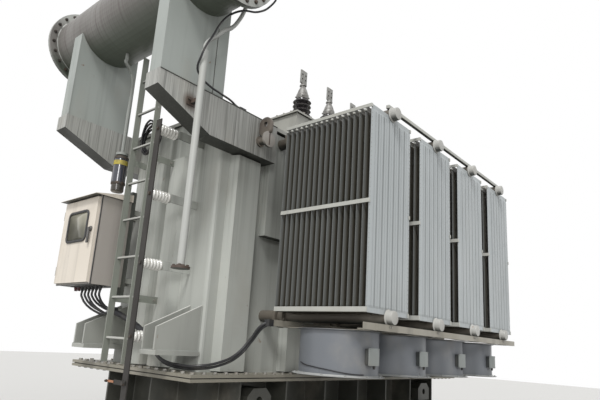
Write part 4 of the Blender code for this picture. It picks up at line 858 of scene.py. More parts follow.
def fluted_panel(bm, x, y, foot, top, flute_shade_layer, gap_shade_layer):
    """One pressed panel: a fluted outline pushed up in steps, pinched flat at both ends, with weights for
    painted shade in the flute grooves and deep between the panels.
    """
    half = PANEL_WIDTH / 2
    flat = half - PANEL_RIM
    side = [(-half, 0.0010), (-flat, 0.0012)]
    pitch = 2 * flat / FLUTE_COUNT
    for flute in range(FLUTE_COUNT):
        start = -flat + flute * pitch
        side += [(start + pitch * across, PANEL_HALF_THICK * share) for across, share in FLUTE_FORM]
    side = side[:-1] + [(flat, 0.0012), (half, 0.0010)]
    outline = side + [(across, -thick) for across, thick in reversed(side)]
    ring = [bm.verts.new((x + across, y + thick, foot)) for across, thick in outline]
    for vert, (across, thick) in zip(ring, outline):
        fluted = abs(across) < flat - 0.001
        vert[flute_shade_layer] = 1.25 * (1 - abs(thick) / PANEL_HALF_THICK) if fluted else 0
        vert[gap_shade_layer] = 0.60 + 0.40 * min(1, (half - abs(across)) / GAP_SHADE_FADE) ** 2
    face = bm.faces.new(ring)
    lowest = list(face.verts)
    layers = []
    for rise in (PANEL_BAND, PINCH, top - foot - 2 * (PANEL_BAND + PINCH), PINCH, PANEL_BAND):
        pushed = bmesh.ops.extrude_face_region(bm, geom=[face])
        verts = [item for item in pushed["geom"] if isinstance(item, bmesh.types.BMVert)]
        face = next(item for item in pushed["geom"] if isinstance(item, bmesh.types.BMFace))
        bmesh.ops.translate(bm, verts=verts, vec=(0, 0, rise))
        layers.append(verts)
    space = Matrix.Translation((0, -y, 0))
    for verts in (lowest, layers[0], layers[3], layers[4]):
        bmesh.ops.scale(bm, vec=(1, 0.25, 1), space=space, verts=verts)
        for vert in verts:
            vert[flute_shade_layer] = 0


def strap(bm, x, side, first, last, foot, height):
    """A flat strap past every panel's edge, hooked over the first and the last one."""
    edge = x + side * (PANEL_WIDTH / 2 + 0.0003)
    hook = edge - side * STRAP_HOOK
    top = foot + height
    for low, high in (((edge, first, foot), (edge + side * STRAP_THICK, last, top)),
                      ((hook, first, foot), (edge, first + 0.004, top)),
                      ((hook, last - 0.004, foot), (edge, last, top))):
        middle = [(start + end) / 2 for start, end in zip(low, high)]
        size = [abs(end - start) for start, end in zip(low, high)]
        ease(bm, block(bm, middle, size), STRAP_EDGE, 1)


for number in range(1, 5):
    low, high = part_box(f"radiator_{number}")
    x = (low.x + high.x) / 2
    foot, top = low.z + PANEL_INSET, high.z - PANEL_INSET
    outer = low.y + PANEL_START
    inner = outer + PANEL_PITCH * (PANEL_COUNT - 1)
    panels = bmesh.new()
    flute_shade_layer = panels.verts.layers.float.new("flute_shade")
    gap_shade_layer = panels.verts.layers.float.new("panel_gap_shade")
    fluted_panel(panels, x, outer, foot, top, flute_shade_layer, gap_shade_layer)
    first = list(panels.verts) + list(panels.edges) + list(panels.faces)
    for index in range(1, PANEL_COUNT):
        copy = bmesh.ops.duplicate(panels, geom=first)
        fresh = [item for item in copy["geom"] if isinstance(item, bmesh.types.BMVert)]
        bmesh.ops.translate(panels, verts=fresh, vec=(0, index * PANEL_PITCH, 0))
    # The outermost face lies open, so it takes no painted shade between panels.
    for vert in panels.verts:
        if vert.co.y < outer:
            vert[gap_shade_layer] = 0
    bmesh.ops.recalc_face_normals(panels, faces=panels.faces)
    item = piece(panels, f"radiator_panels_{number}", panel_enamel, crease_deg=50)
    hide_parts(f"radiator_{number}")
    pipes = bmesh.new()
    bottom_level, top_level = foot - 0.016, top + 0.016
    valve = inner + 2 * PANEL_PITCH
    for level, root in zip((bottom_level, top_level), HEADER_ROOTS):
        outline = [(0, low.y + 0.004), (HEADER_RADIUS - 0.002, low.y + 0.004), (HEADER_RADIUS, low.y + 0.010),
                   (HEADER_RADIUS, valve), (FLANGE_RADIUS, valve), (FLANGE_RADIUS, valve + 0.020),
                   (NECK_RADIUS, valve + 0.0215), (NECK_RADIUS, valve + 0.068),
                   (FLANGE_RADIUS, valve + 0.0695), (FLANGE_RADIUS, valve + 0.092),
                   (HEADER_RADIUS, valve + 0.093), (HEADER_RADIUS, root), (0, root)]
        lathe(pipes, outline, (x, 0, level), "Y", 40)
        for y, out in ((valve, -1), (valve + 0.092, 1)):
            bolt_circle(pipes, (x, y, level), 0.071, 8, (0, out, 0), 0.5, head=0.010)
        y = valve + 0.045
        bar(pipes, (x, y, level), (x, y, level + 0.080), 0.010, 12)
        bar(pipes, (x - 0.030, y, level + 0.078), (x + 0.030, y, level + 0.078), 0.006)
    piece(pipes, f"radiator_headers_{number}", header_enamel_shaded)
    caps = bmesh.new()
    for level in (bottom_level, top_level):
        lathe(caps, [(0, low.y), (HEADER_RADIUS - 0.009, low.y), (HEADER_RADIUS - 0.001, low.y + 0.003),
                     (HEADER_RADIUS + 0.001, low.y + 0.010), (HEADER_RADIUS + 0.001, outer - 0.002)],
              (x, 0, level), "Y", 40)
        collar = [(HEADER_RADIUS, outer - 0.014), (HEADER_RADIUS + 0.010, outer - 0.006)]
        lathe(caps, collar, (x, 0, level), "Y", 40)
    piece(caps, f"header_caps_{number}", end_cap_enamel)
    straps = bmesh.new()
    first_y, last_y = outer - PANEL_HALF_THICK, inner + PANEL_HALF_THICK
    for side in (-1, 1):
        for strap_foot, strap_height in ((foot + 0.683, 0.028), (foot, 0.032), (top - 0.024, 0.025)):
            strap(straps, x, side, first_y, last_y, strap_foot, strap_height)
        edge = x + side * (PANEL_WIDTH / 2 - 0.004)
        for index in range(1, PANEL_COUNT):
            spot = Matrix.Translation((edge, outer + index * PANEL_PITCH, top - 0.036))
            bmesh.ops.create_uvsphere(straps, u_segments=10, v_segments=6, radius=0.0115, matrix=spot)
    piece(straps, f"radiator_straps_{number}", strap_enamel)


# Tie bar: a square bar welded across the top headers' caps, which keeps the radiators in line.
# It is painted like the straps.
TIE_BAR_SIZE = 0.026
first_low, first_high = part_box("radiator_1")
last_low, last_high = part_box("radiator_4")
tie_start = (first_low.x + first_high.x) / 2 - 0.04
tie_end = (last_low.x + last_high.x) / 2 + 0.04
tie_middle = ((tie_start + tie_end) / 2, first_low.y + 0.067, first_high.z - 0.0405 + TIE_BAR_SIZE / 2)
tie = bmesh.new()
ease(tie, block(tie, tie_middle, (tie_end - tie_start, TIE_BAR_SIZE, TIE_BAR_SIZE)), 0.002)
piece(tie, "radiator_tie_bar", strap_enamel)


# Weld spots: each outer panel shows two rows of small spot welds beside its edges, where its two
# pressed sheets are joined.
SPOT_PITCH = 0.030
SPOT_RADIUS = 0.0032
SPOT_ASIDE = 0.250
spots = bmesh.new()
for number in range(1, 5):
    low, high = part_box(f"radiator_{number}")
    x = (low.x + high.x) / 2
    face = low.y + PANEL_START - 0.0010
    count = int((high.z - low.z - 2 * PANEL_INSET - 0.06) / SPOT_PITCH)
    for step in range(count):
        level = low.z + PANEL_INSET + 0.04 + step * SPOT_PITCH
        for side in (-1, 1):
            spot = Matrix.Translation((x + side * SPOT_ASIDE, face, level))
            bmesh.ops.create_uvsphere(spots, u_segments=6, v_segments=3, radius=SPOT_RADIUS, matrix=spot)
piece(spots, "panel_spot_welds", strap_enamel)


# Fans: a rolled sheet-steel ring with a flared mouth under each radiator, with the motor on crossed
# arms, a guard of six wire rings on spokes, and a junction box with a lid outside. Their rings are
# a bluer grey than the rest.
RING_RADIUS = 0.2655
RING_WALL = 0.004
MOUTH_RADIUS = 0.307
FAN_BLUE = (0.150, 0.160, 0.175)
GUARD_RINGS = (0.060, 0.105, 0.150, 0.195, 0.240, 0.285)
GUARD_WIRE = 0.0018
SPOKE_REACH = 0.298
MOUTH_BOLT_CIRCLE = 0.288
ARM_SIZES = ((0.5, 0.022, 0.030), (0.022, 0.5, 0.030))
FIN_COUNT = 20
FIN_SIZE = (0.009, 0.002, 0.11)
BLADE_COUNT = 6
BLADE_THICK = 0.003
BOX_DROP = 0.158
BOX_TURN_DEG = -7
SEAL_SIZE = (0.0965, 0.0045, 0.1045)
PLASTIC_BLACK, PLASTIC_DUST = (0.022, 0.022, 0.024), (0.07, 0.065, 0.055)
fan_enamel = enamel("fan_enamel", FAN_BLUE, rain=0.30, dust=0.55, rust=0.25, gloss=0.34, streak=(5, 5, 1.4))
mouth_enamel = enamel("mouth_enamel", (0.33, 0.335, 0.325), rain=0.5, dust=0.6, rust=1.0)
box_enamel = enamel("box_enamel", (0.20, 0.215, 0.208), rain=0.4, dust=0.5, rust=0.2)
box_shade = enamel("box_shade", (0.055, 0.060, 0.058), rain=0.4, dust=0.4, rust=0.2)
lid_enamel = enamel("lid_enamel", (0.275, 0.295, 0.285), rain=0.4, dust=0.5, rust=0.3)
black_plastic = two_tone("black_plastic", PLASTIC_BLACK, PLASTIC_DUST, (14, 14, 14), (0.45, 0.75), 0.6)[0]
for number in range(1, 5):
    low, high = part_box(f"fan_shroud_{number}")
    x, y = (low.x + high.x) / 2, high.y - MOUTH_RADIUS
    foot, top = low.z, high.z
    bore = RING_RADIUS - RING_WALL
    ring = bmesh.new()
    lathe(ring, [(bore, foot + 0.001), (RING_RADIUS, foot + 0.001), (RING_RADIUS, top - 0.006),
                 (RING_RADIUS + 0.016, top - 0.005), (RING_RADIUS + 0.018, top - 0.003),
                 (RING_RADIUS + 0.016, top), (bore, top), (bore, foot + 0.001)], (x, y, 0), sides=72)
    item = piece(ring, f"fan_ring_{number}", fan_enamel)
    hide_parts(f"fan_shroud_{number}")
    mouth = bmesh.new()
    lathe(mouth, [(bore, foot), (MOUTH_RADIUS - 0.004, foot), (MOUTH_RADIUS, foot + 0.003),
                  (MOUTH_RADIUS - 0.004, foot + 0.006), (RING_RADIUS + 0.006, foot + 0.006),
                  (RING_RADIUS, foot + 0.014)], (x, y, 0), sides=72)
    for radius in GUARD_RINGS:
        within, beyond = radius - GUARD_WIRE, radius + GUARD_WIRE
        lathe(mouth, [(within, foot - 0.0002), (beyond, foot - 0.0002), (beyond, foot + 0.0030),
                      (within, foot + 0.0030), (within, foot - 0.0002)], (x, y, 0), sides=36)
    for step in range(4):
        angle = math.tau * step / 8
        out = Vector((math.cos(angle), math.sin(angle), 0)) * SPOKE_REACH
        centre = Vector((x, y, foot + 0.0045))
        bar(mouth, centre - out, centre + out, 0.0022, 6)
    bolt_circle(mouth, (x, y, foot + 0.006), MOUTH_BOLT_CIRCLE, 12, (0, 0, 1), 0.5, head=0.0075, height=0.006)
    piece(mouth, f"fan_mouth_{number}", mouth_enamel)
    motor = bmesh.new()
    for size in ARM_SIZES:
        block(motor, (x, y, top - 0.021), size)
    lathe(motor, [(0, top - 0.150), (0.058, top - 0.150), (0.065, top - 0.142), (0.065, top - 0.012),
                  (0.058, top - 0.002), (0, top - 0.002)], (x, y, 0), sides=40)
    for step in range(FIN_COUNT):
        angle = math.tau * step / FIN_COUNT
        out = Vector((math.cos(angle), math.sin(angle), 0))
        fin = Matrix.Translation(Vector((x, y, top - 0.078)) + out * 0.0665)
        block(motor, (0, 0, 0), FIN_SIZE, fin @ out.to_track_quat("X", "Z").to_matrix().to_4x4())
    piece(motor, f"fan_motor_{number}", box_enamel)
    rotor_low, rotor_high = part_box(f"fan_rotor_{number}")
    rotor = bmesh.new()
    hub_foot, hub_top = rotor_low.z + 0.0035, rotor_high.z - 0.0035
    lathe(rotor, [(0, hub_foot), (0.056, hub_foot), (0.068, hub_foot + 0.010), (0.070, hub_foot + 0.020),
                  (0.070, hub_top), (0, hub_top)], (x, y, 0), sides=40)
    middle = Vector((x, y, (hub_foot + hub_top) / 2))
    for index in range(BLADE_COUNT):
        made = bmesh.ops.create_grid(rotor, x_segments=7, y_segments=5, size=0.5)["verts"]
        for vert in made:
            reach = vert.co.x + 0.5
            chord = vert.co.y * (0.105 + 0.030 * reach)
            pitch = math.radians(40 - 16 * reach)
            camber = 0.012 * (1 - 4 * vert.co.y ** 2)
            along = 0.062 + 0.168 * reach - 0.018 * reach * (2 * vert.co.y) ** 2
            vert.co = (along, chord * math.cos(pitch) - camber * math.sin(pitch),
                       chord * math.sin(pitch) + camber * math.cos(pitch))
        turn = Matrix.Translation(middle) @ Matrix.Rotation(math.tau * index / BLADE_COUNT, 4, "Z")
        bmesh.ops.transform(rotor, matrix=turn, verts=made)
        faces = list({face for vert in made for face in vert.link_faces})
        bmesh.ops.solidify(rotor, geom=faces, thickness=BLADE_THICK)
    item = piece(rotor, f"fan_blades_{number}", box_enamel)
    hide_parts(f"fan_rotor_{number}")
    box, lid, seal = bmesh.new(), bmesh.new(), bmesh.new()
    level = top - BOX_DROP
    turn = Matrix.Translation((x, y, 0)) @ Matrix.Rotation(math.radians(BOX_TURN_DEG), 4, "Z")
    for bm, size, out_y, round_off in ((box, (0.092, 0.032, 0.098), -0.281, 0.004),
                                       (lid, (0.100, 0.010, 0.108), -0.300, 0.003),
                                       (lid, (0.080, 0.0012, 0.088), -0.3054, 0.0005)):
        ease(bm, block(bm, (0, out_y, level), size, turn), round_off)
    for aside in (-0.044, 0.044):
        for rise in (-0.048, 0.048):
            spot = turn @ Vector((aside, -0.305, level + rise))
            bolt(lid, spot, turn.to_3x3() @ Vector((0, -1, 0)), head=0.004, height=0.0012)
    # The box body behind the lid is near black: painted shade round the lid.
    piece(box, f"fan_box_{number}", box_shade)
    piece(lid, f"fan_box_lid_{number}", lid_enamel)
    block(seal, (0, -0.2935, level), SEAL_SIZE, turn)
    piece(seal, f"fan_box_seal_{number}", black_plastic)
    gland = bmesh.new()
    start = turn @ Vector((0.020, -0.287, top - 0.207))
    neck, end = start - Vector((0, 0, 0.018)), start - Vector((0, 0, 0.026))
    bar(gland, start, neck, 0.010, 6)
    bar(gland, neck, end, 0.008, 12)
    piece(gland, f"fan_gland_{number}", black_plastic)


# Fan rails: two angle irons under the radiators with flats across, hung from the bottom headers
# and bolted to each fan's rim.
RAIL_WIDTH = 0.042
RAIL_BOLT_LEVEL, RAIL_BOLT_ASIDE = 0.030, 0.011
rail_enamel = enamel("rail_enamel", (0.285, 0.265, 0.22), rain=0.7, dust=0.5, rust=1.0)
dress(rail_enamel, "fan_rails")
rail_bolts = bmesh.new()
rail_low, rail_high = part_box("fan_rails")
for number in range(1, 5):
    low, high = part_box(f"radiator_{number}")
    x = (low.x + high.x) / 2
    for y in (rail_low.y, rail_high.y - RAIL_WIDTH):
        for step in (-RAIL_BOLT_ASIDE, RAIL_BOLT_ASIDE):
            spot = (x + step, y, rail_low.z + RAIL_BOLT_LEVEL)
            bolt(rail_bolts, spot, (0, -1, 0), head=0.006, height=0.005)
piece(rail_bolts, "rail_bolts", zinc_bolts)


# Ladder: flat-bar stiles and round rungs, bolted to lugs on the end wall and pinned to the flange.
# The rungs are rubbed pale; the stiles are a dull greenish grey.
RUNG_FIRST = 0.17
RUNG_PITCH = 0.293
RUNG_START, RUNG_END = -0.0825, 0.1805
RUNG_RADIUS, PIN_RADIUS = 0.0103, 0.0075
LUG_LEVELS = (0.975, 2.045)
LUG_BOLT_Y = ((-0.088, -1), (0.186, 1))
LADDER_GREY, RUNG_GREY = (0.235, 0.248, 0.215), (0.42, 0.42, 0.39)
ladder_enamel = enamel("ladder_enamel", LADDER_GREY, rain=0.5, dust=0.45, rust=0.6, streak=(16, 16, 1.2))
rung_enamel = enamel("rung_enamel", RUNG_GREY, rain=0.2, dust=0.4, rust=0.5)
dress(ladder_enamel, "ladder")
low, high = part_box("ladder")
stile_x = low.x + 0.025
rungs = bmesh.new()
level = low.z + RUNG_FIRST
while level < high.z:
    bar(rungs, (stile_x, RUNG_START, level), (stile_x, RUNG_END, level), RUNG_RADIUS, 20)
    for y, out in ((RUNG_START - 0.008, -1), (RUNG_END + 0.008, 1)):
        bar(rungs, (stile_x, y - out * 0.003, level), (stile_x, y, level), PIN_RADIUS, 12)
    level += RUNG_PITCH
piece(rungs, "ladder_rungs", rung_enamel)
ladder_bolts = bmesh.new()
for level in LUG_LEVELS:
    for y, out in LUG_BOLT_Y:
        for x in (low.x + 0.070, high.x - 0.030):
            bolt(ladder_bolts, (x, y, level), (0, out, 0), head=0.008, height=0.007)
piece(ladder_bolts, "ladder_bolts", zinc_bolts)


# Jacking brackets: a thick plate under two tapered gussets on each corner of the end walls, where
# the whole tank is lifted. Their edges are worn pale.
GUSSET_ASIDE = 0.065
GUSSET_HALF = 0.008
WORN_RADIUS, LIP_RADIUS = 0.0072, 0.0030
BRACKET_BEAD = 0.0040
bracket_enamel = enamel("bracket_enamel", (0.345, 0.350, 0.320), rain=0.4, dust=0.5, rust=0.5)
worn_edge = enamel("worn_edge", (0.56, 0.56, 0.52), rain=0.2, dust=0.2, rust=0.6)
dress(bracket_enamel, "jack_bracket_1", "jack_bracket_2", "jack_bracket_3", "jack_bracket_4")
edges = bmesh.new()
bracket_beads = bmesh.new()
for number in range(1, 5):
    low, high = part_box(f"jack_bracket_{number}")
    middle_y = (low.y + high.y) / 2
    end = -1 if low.x < 0 else 1
    wall, tip = (high.x, low.x) if end < 0 else (low.x, high.x)
    for offset in (-GUSSET_ASIDE, GUSSET_ASIDE):
        y = middle_y + offset
        bar(edges, (wall, y, high.z - 0.004), (tip - end * 0.004, y, low.z + 0.172), WORN_RADIUS, 10)
        for face in (-GUSSET_HALF, GUSSET_HALF):
            root = Vector((wall, y + face, low.z + 0.030))
            for reach in ((tip, y + face, low.z + 0.030), (wall, y + face, high.z - 0.01)):
                bar(bracket_beads, root, reach, BRACKET_BEAD)
    lip = tip - end * 0.0026
    bar(edges, (lip, low.y + 0.003, low.z + 0.027), (lip, high.y - 0.003, low.z + 0.027), LIP_RADIUS, 8)
piece(edges, "bracket_edges", worn_edge)
piece(bracket_beads, "bracket_welds", bead_look)


# Earth bar: a dark painted flat bar that carries the earth current down the end wall, clear of the
# tank on white post insulators, with a bare copper stub for the earth lead near its foot.
STUB_LEVEL = 0.414
POST_RIBS = 6
RIB_FORM = ((0.0315, 0.12), (0.037, 0.28), (0.0398, 0.42), (0.0398, 0.58), (0.037, 0.72), (0.0315, 0.88))
POST_WHITE, POST_DUST = (0.66, 0.65, 0.61), (0.42, 0.39, 0.34)
COPPER_RED, COPPER_BROWN = (0.62, 0.30, 0.17), (0.28, 0.16, 0.11)
bar_paint = enamel("bar_paint", (0.026, 0.023, 0.020), rain=0.5, dust=0.10, rust=0.7, gloss=0.62)
dress(bar_paint, "earth_bar")
copper = metal("bare_copper", COPPER_RED, 0.40, COPPER_BROWN)
low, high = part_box("earth_bar")
bar_face = low.x
for name, material, start_y, end_y, tall in (("bar_arm", bar_paint, high.y - 0.045, high.y + 0.09, 0.030),
                                             ("copper_stub", copper, high.y + 0.08, high.y + 0.19, 0.014)):
    stub = bmesh.new()
    middle = (low.x - 0.004, (start_y + end_y) / 2, STUB_LEVEL)
    ease(stub, block(stub, middle, (0.0085, end_y - start_y, tall)), 0.0015, 1)
    piece(stub, name, material)
stub_bolt = bmesh.new()
bolt(stub_bolt, (low.x - 0.0083, high.y + 0.172, STUB_LEVEL), (-1, 0, 0), head=0.008, shank=0.004)
bolt(stub_bolt, (low.x - 0.0080, high.y - 0.030, STUB_LEVEL), (-1, 0, 0), head=0.013)
post_glaze = glaze("white_porcelain", POST_WHITE, POST_DUST)
for number in range(1, 5):
    low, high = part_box(f"bar_insulator_{number}")
    y, z = (low.y + high.y) / 2, (low.z + high.z) / 2
    length = high.x - low.x
    pitch = length / POST_RIBS
    outline = [(0, 0), (0.031, 0)]
    for rib in range(POST_RIBS):
        outline += [(radius, (rib + share) * pitch) for radius, share in RIB_FORM]
    outline += [(0.031, length), (0, length)]
    post = bmesh.new()
    lathe(post, outline, (low.x, y, z), "X", 40)
    item = piece(post, f"post_insulator_{number}", post_glaze, crease_deg=60)
    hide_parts(f"bar_insulator_{number}")
    bolt(stub_bolt, (bar_face, y, z), (-1, 0, 0), head=0.012, height=0.008)
piece(stub_bolt, "earth_bar_bolts", dark_bolts)


# Control cabinet: a folded steel box and hood, powder coated a warm beige, with rain streaks down
# the door. The body takes a darker copy of the beige, painted shade for its shaded side. Its hinges
# are plain barrels on the far edge; a rubber seal runs round the body's mouth, and a steel post
# painted near black stands behind the body, painted shade for the shadow between cabinet and tank.
CABINET_BEIGE, SHADED_BEIGE = (0.68, 0.615, 0.53), (0.375, 0.345, 0.315)
HINGE_X, HINGE_Y = -2.1613, 0.767
HINGE_RADIUS, HINGE_HALF = 0.0065, 0.035
SEAL_RADIUS = 0.0045
POST_SIZE = (0.040, 0.070, 0.86)
cabinet_coat = enamel("cabinet_coat", CABINET_BEIGE, rain=0.40, dust=0.45, rust=0.15, gloss=0.40,
                      streak=(26, 26, 0.9))
cabinet_shade = enamel("cabinet_shade", SHADED_BEIGE, rain=0.35, dust=0.5, rust=0.2, streak=(18, 18, 0.8))
dress(cabinet_coat, "cabinet_door", "cabinet_hood")
# The body's darker beige is painted shade.
dress(cabinet_shade, "cabinet_body")
low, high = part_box("cabinet_door")
hinges = bmesh.new()
for level in (low.z + 0.10, high.z - 0.10):
    start, end = (HINGE_X, HINGE_Y, level - HINGE_HALF), (HINGE_X, HINGE_Y, level + HINGE_HALF)
    bar(hinges, start, end, HINGE_RADIUS, 16)
piece(hinges, "cabinet_hinges", zinc_bolts)
body_low, body_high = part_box("cabinet_body")
seal = bmesh.new()
mouth_x = body_low.x + 0.0052
for z in (body_low.z, body_high.z):
    bar(seal, (mouth_x, body_low.y, z), (mouth_x, body_high.y, z), SEAL_RADIUS)
for y in (body_low.y, body_high.y):
    bar(seal, (mouth_x, y, body_low.z), (mouth_x, y, body_high.z), SEAL_RADIUS)
piece(seal, "door_seal", black_plastic)
# Near black standing for the shadow between cabinet and tank: painted shade.
post_shadow_enamel = enamel("post_shadow_enamel", (0.075, 0.080, 0.070), rain=0.5, dust=0.4, rust=0.6)
post = bmesh.new()
block(post, (body_high.x + 0.022, body_low.y + 0.045, 1.40), POST_SIZE)
piece(post, "cabinet_post", post_shadow_enamel)


# Door window: a glass pane in a black rubber gasket with round corners, on the riding door. The
# glass is dull with dust and shows the khaki shade of what lies behind it.
WINDOW_SIZE = (0.228, 0.295)
WINDOW_CENTRE = (0.5025, 1.511)
CORNER_RADIUS = 0.045
GASKET_WIDTH = 0.018
PANE_KHAKI, PANE_DUST = (0.19, 0.185, 0.145), (0.37, 0.35, 0.28)
door_face = low.x
glass = two_tone("window_glass_seen", PANE_KHAKI, PANE_DUST, (2.2, 3.2, 2.2), (0.42, 0.70), 0.85, 0.14)[0]
for name, material, paint_slot, grow, rise, thick, open_middle in (
        ("window_pane", glass, "window_glass", 0, 0.0015, 0.002, False),
        ("window_gasket", black_plastic, "rubber", 0.022, 0.004, 0.008, True)):
    sheet = bmesh.new()
    corners = bmesh.ops.create_grid(sheet, x_segments=1, y_segments=1, size=0.5)["verts"]
    flat = Matrix.Translation((door_face - rise, *WINDOW_CENTRE)) @ Matrix.Rotation(math.pi / 2, 4, "Y")
    size = [side + grow for side in WINDOW_SIZE]
    bmesh.ops.transform(sheet, matrix=flat @ Matrix.Diagonal((*size, 1, 1)), verts=corners)
    bmesh.ops.bevel(sheet, geom=sheet.verts[:], offset=CORNER_RADIUS, affect="VERTICES", segments=6,
                    profile=0.5, material=-1)
    if open_middle:
        middle = sheet.faces[:]
        bmesh.ops.inset_region(sheet, faces=middle, thickness=GASKET_WIDTH, use_boundary=True,
                               use_even_offset=True)
        bmesh.ops.delete(sheet, geom=middle, context="FACES_ONLY")
    bmesh.ops.recalc_face_normals(sheet, faces=sheet.faces)
    item = piece(sheet, name, material, "cabinet_door")
    thicken(item, thick)
    if not open_middle:
        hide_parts("cabinet_window")


# Door handle: a swing lever on a round rose, which turns to draw the latch. Its nickel plating is
# worn dark by hands and weather.
NICKEL_DARK, NICKEL_WORN = (0.125, 0.12, 0.115), (0.06, 0.055, 0.05)
ROSE_RADIUS, ROSE_DEPTH = 0.020, 0.013
nickel = metal("worn_nickel", NICKEL_DARK, 0.36, NICKEL_WORN, plating=0.6)
low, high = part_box("cabinet_handle")
y, rose_z = (low.y + high.y) / 2, high.z - ROSE_RADIUS
lever_top = rose_z + 0.011
lever = bmesh.new()
lathe(lever, [(0, 0.0), (0.016, 0.0), (ROSE_RADIUS, 0.004), (ROSE_RADIUS, ROSE_DEPTH), (0, ROSE_DEPTH)],
      (high.x - ROSE_DEPTH, y, rose_z), "X")
grip = block(lever, (low.x + 0.008, y, (low.z + lever_top) / 2), (0.014, 0.024, lever_top - low.z))
ease(lever, grip, 0.0045, 3)
item = piece(lever, "door_lever", nickel, "cabinet_handle")
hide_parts("cabinet_handle")


# Inside of the cabinet: a galvanised back plate with two rows of terminal blocks and a row of
# small breakers, which shows when the door stands open.
RAIL_RISES = (-0.18, 0.0, 0.17)
ROWS = ((0.0095, 0.050, 36), (0.0095, 0.050, 36), (0.0175, 0.085, 18))
BREAKER_HEIGHT = 0.085
PLATE_ZINC, PLATE_DULL = (0.55, 0.56, 0.56), (0.36, 0.36, 0.35)
CREAM, CREAM_DUST = (0.55, 0.53, 0.46), (0.40, 0.38, 0.33)
plate_look = metal("galvanised_plate", PLATE_ZINC, 0.42, PLATE_DULL)
back_x = body_high.x - 0.003
mid_y, mid_z = (body_low.y + body_high.y) / 2, (body_low.z + body_high.z) / 2
inside = bmesh.new()
block(inside, (back_x - 0.012, mid_y, mid_z), (0.003, 0.44, 0.58))
for y in (mid_y - 0.19, mid_y + 0.19):
    for z in (mid_z - 0.25, mid_z + 0.25):
        bar(inside, (back_x, y, z), (back_x - 0.014, y, z), 0.006, 10)
for rise in RAIL_RISES:
    block(inside, (back_x - 0.018, mid_y, mid_z + rise), (0.009, 0.40, 0.035))
piece(inside, "cabinet_plate", plate_look)
cream_plastic = two_tone("cream_plastic", CREAM, CREAM_DUST, (20, 20, 20), (0.45, 0.75), 0.5, 0.4)[0]
blocks = bmesh.new()
toggles = bmesh.new()
for rise, (width, height, count) in zip(RAIL_RISES, ROWS):
    for index in range(count):
        y = mid_y + (index - (count - 1) / 2) * (width + 0.0008)
        block(blocks, (back_x - 0.044, y, mid_z + rise), (0.044, width, height))
        if height == BREAKER_HEIGHT:
            block(toggles, (back_x - 0.069, y, mid_z + rise + 0.005), (0.010, 0.010, 0.016))
piece(blocks, "cabinet_terminals", cream_plastic)
piece(toggles, "breaker_toggles", black_plastic)


# Drain pipe: a galvanised steel pipe painted white, held to the beam by a rusty clamp, with a
# rusty flange and a blank at its foot, joined by four bolts.
PIPE_RADIUS = 0.024
BLANK_RADIUS = 0.058
BLANK_BOLT_PLACE = 0.042
PIPE_WHITE, FOOT_RUST = (0.42, 0.425, 0.40), (0.075, 0.052, 0.040)
white_pipe = enamel("white_pipe", PIPE_WHITE, rain=0.35, dust=0.4, rust=0.4, streak=(30, 30, 1.1))
rusty = enamel("rusty_flange", FOOT_RUST, rain=0.6, dust=0.6, rust=1.0)
low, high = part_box("drain_pipe")
pipe_x, pipe_y = -2.11, -0.7855
pipe = bmesh.new()
lathe(pipe, [(0, low.z + 0.010), (PIPE_RADIUS, low.z + 0.010), (PIPE_RADIUS, high.z - 0.001),
             (PIPE_RADIUS - 0.002, high.z), (0, high.z)], (pipe_x, pipe_y, 0), sides=32)
clamp = bmesh.new()
block(clamp, (pipe_x, -0.740, 2.2597), (0.027, 0.079, 0.027))
block(clamp, CLAMP_PLACE, (0.066, 0.007, 0.058))
bolt(clamp, Vector(CLAMP_PLACE) + Vector((-0.020, -0.003, 0.012)), (0, -1, 0), head=0.010)
piece(clamp, "drain_pipe_clamp", rusty)
item = piece(pipe, "drain_pipe_run", white_pipe)
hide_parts("drain_pipe")
blank = bmesh.new()
lathe(blank, [(0, low.z), (BLANK_RADIUS, low.z), (BLANK_RADIUS, low.z + 0.006), (0.0575, low.z + 0.0065),
              (BLANK_RADIUS, low.z + 0.007), (BLANK_RADIUS, low.z + 0.014), (0.034, low.z + 0.014),
              (PIPE_RADIUS, low.z + 0.026), (0, low.z + 0.026)], (pipe_x, pipe_y, 0), sides=40)
bolt_circle(blank, (pipe_x, pipe_y, low.z + 0.014), BLANK_BOLT_PLACE, 4, (0, 0, 1), 0.5, head=0.009)
piece(blank, "drain_flange", rusty)


# Pipes of the conservator: the wide oil pipe down to the cover and the thin breather pipe, bent
# from painted steel tube, with a welded flange where each one lands.
pipe_enamel = enamel("pipe_enamel", (0.27, 0.28, 0.26), rain=0.4, dust=0.35, rust=0.5)
dress(pipe_enamel, "oil_pipe", "breather_pipe")


def hose(name, points, radius, material, steps=5, sides=3):
    """A pipe or cable of round section along a smooth line through given points."""
    path = bpy.data.curves.new(name, "CURVE")
    path.dimensions = "3D"
    path.bevel_depth = radius
    path.bevel_resolution = sides
    path.use_fill_caps = True
    path.resolution_u = steps
    line = path.splines.new("BEZIER")
    line.bezier_points.add(len(points) - 1)
    for knot, point in zip(line.bezier_points, points):
        knot.co = point
        knot.handle_left_type = "AUTO"
        knot.handle_right_type = "AUTO"
    holder = bpy.data.objects.new(name, path)
    bpy.context.scene.collection.objects.link(holder)
    bpy.context.view_layer.update()
    drawn = bpy.data.meshes.new_from_object(holder.evaluated_get(bpy.context.evaluated_depsgraph_get()))
    bpy.data.objects.remove(holder)
    bm = bmesh.new()
    bm.from_mesh(drawn)
    return piece(bm, name, material)


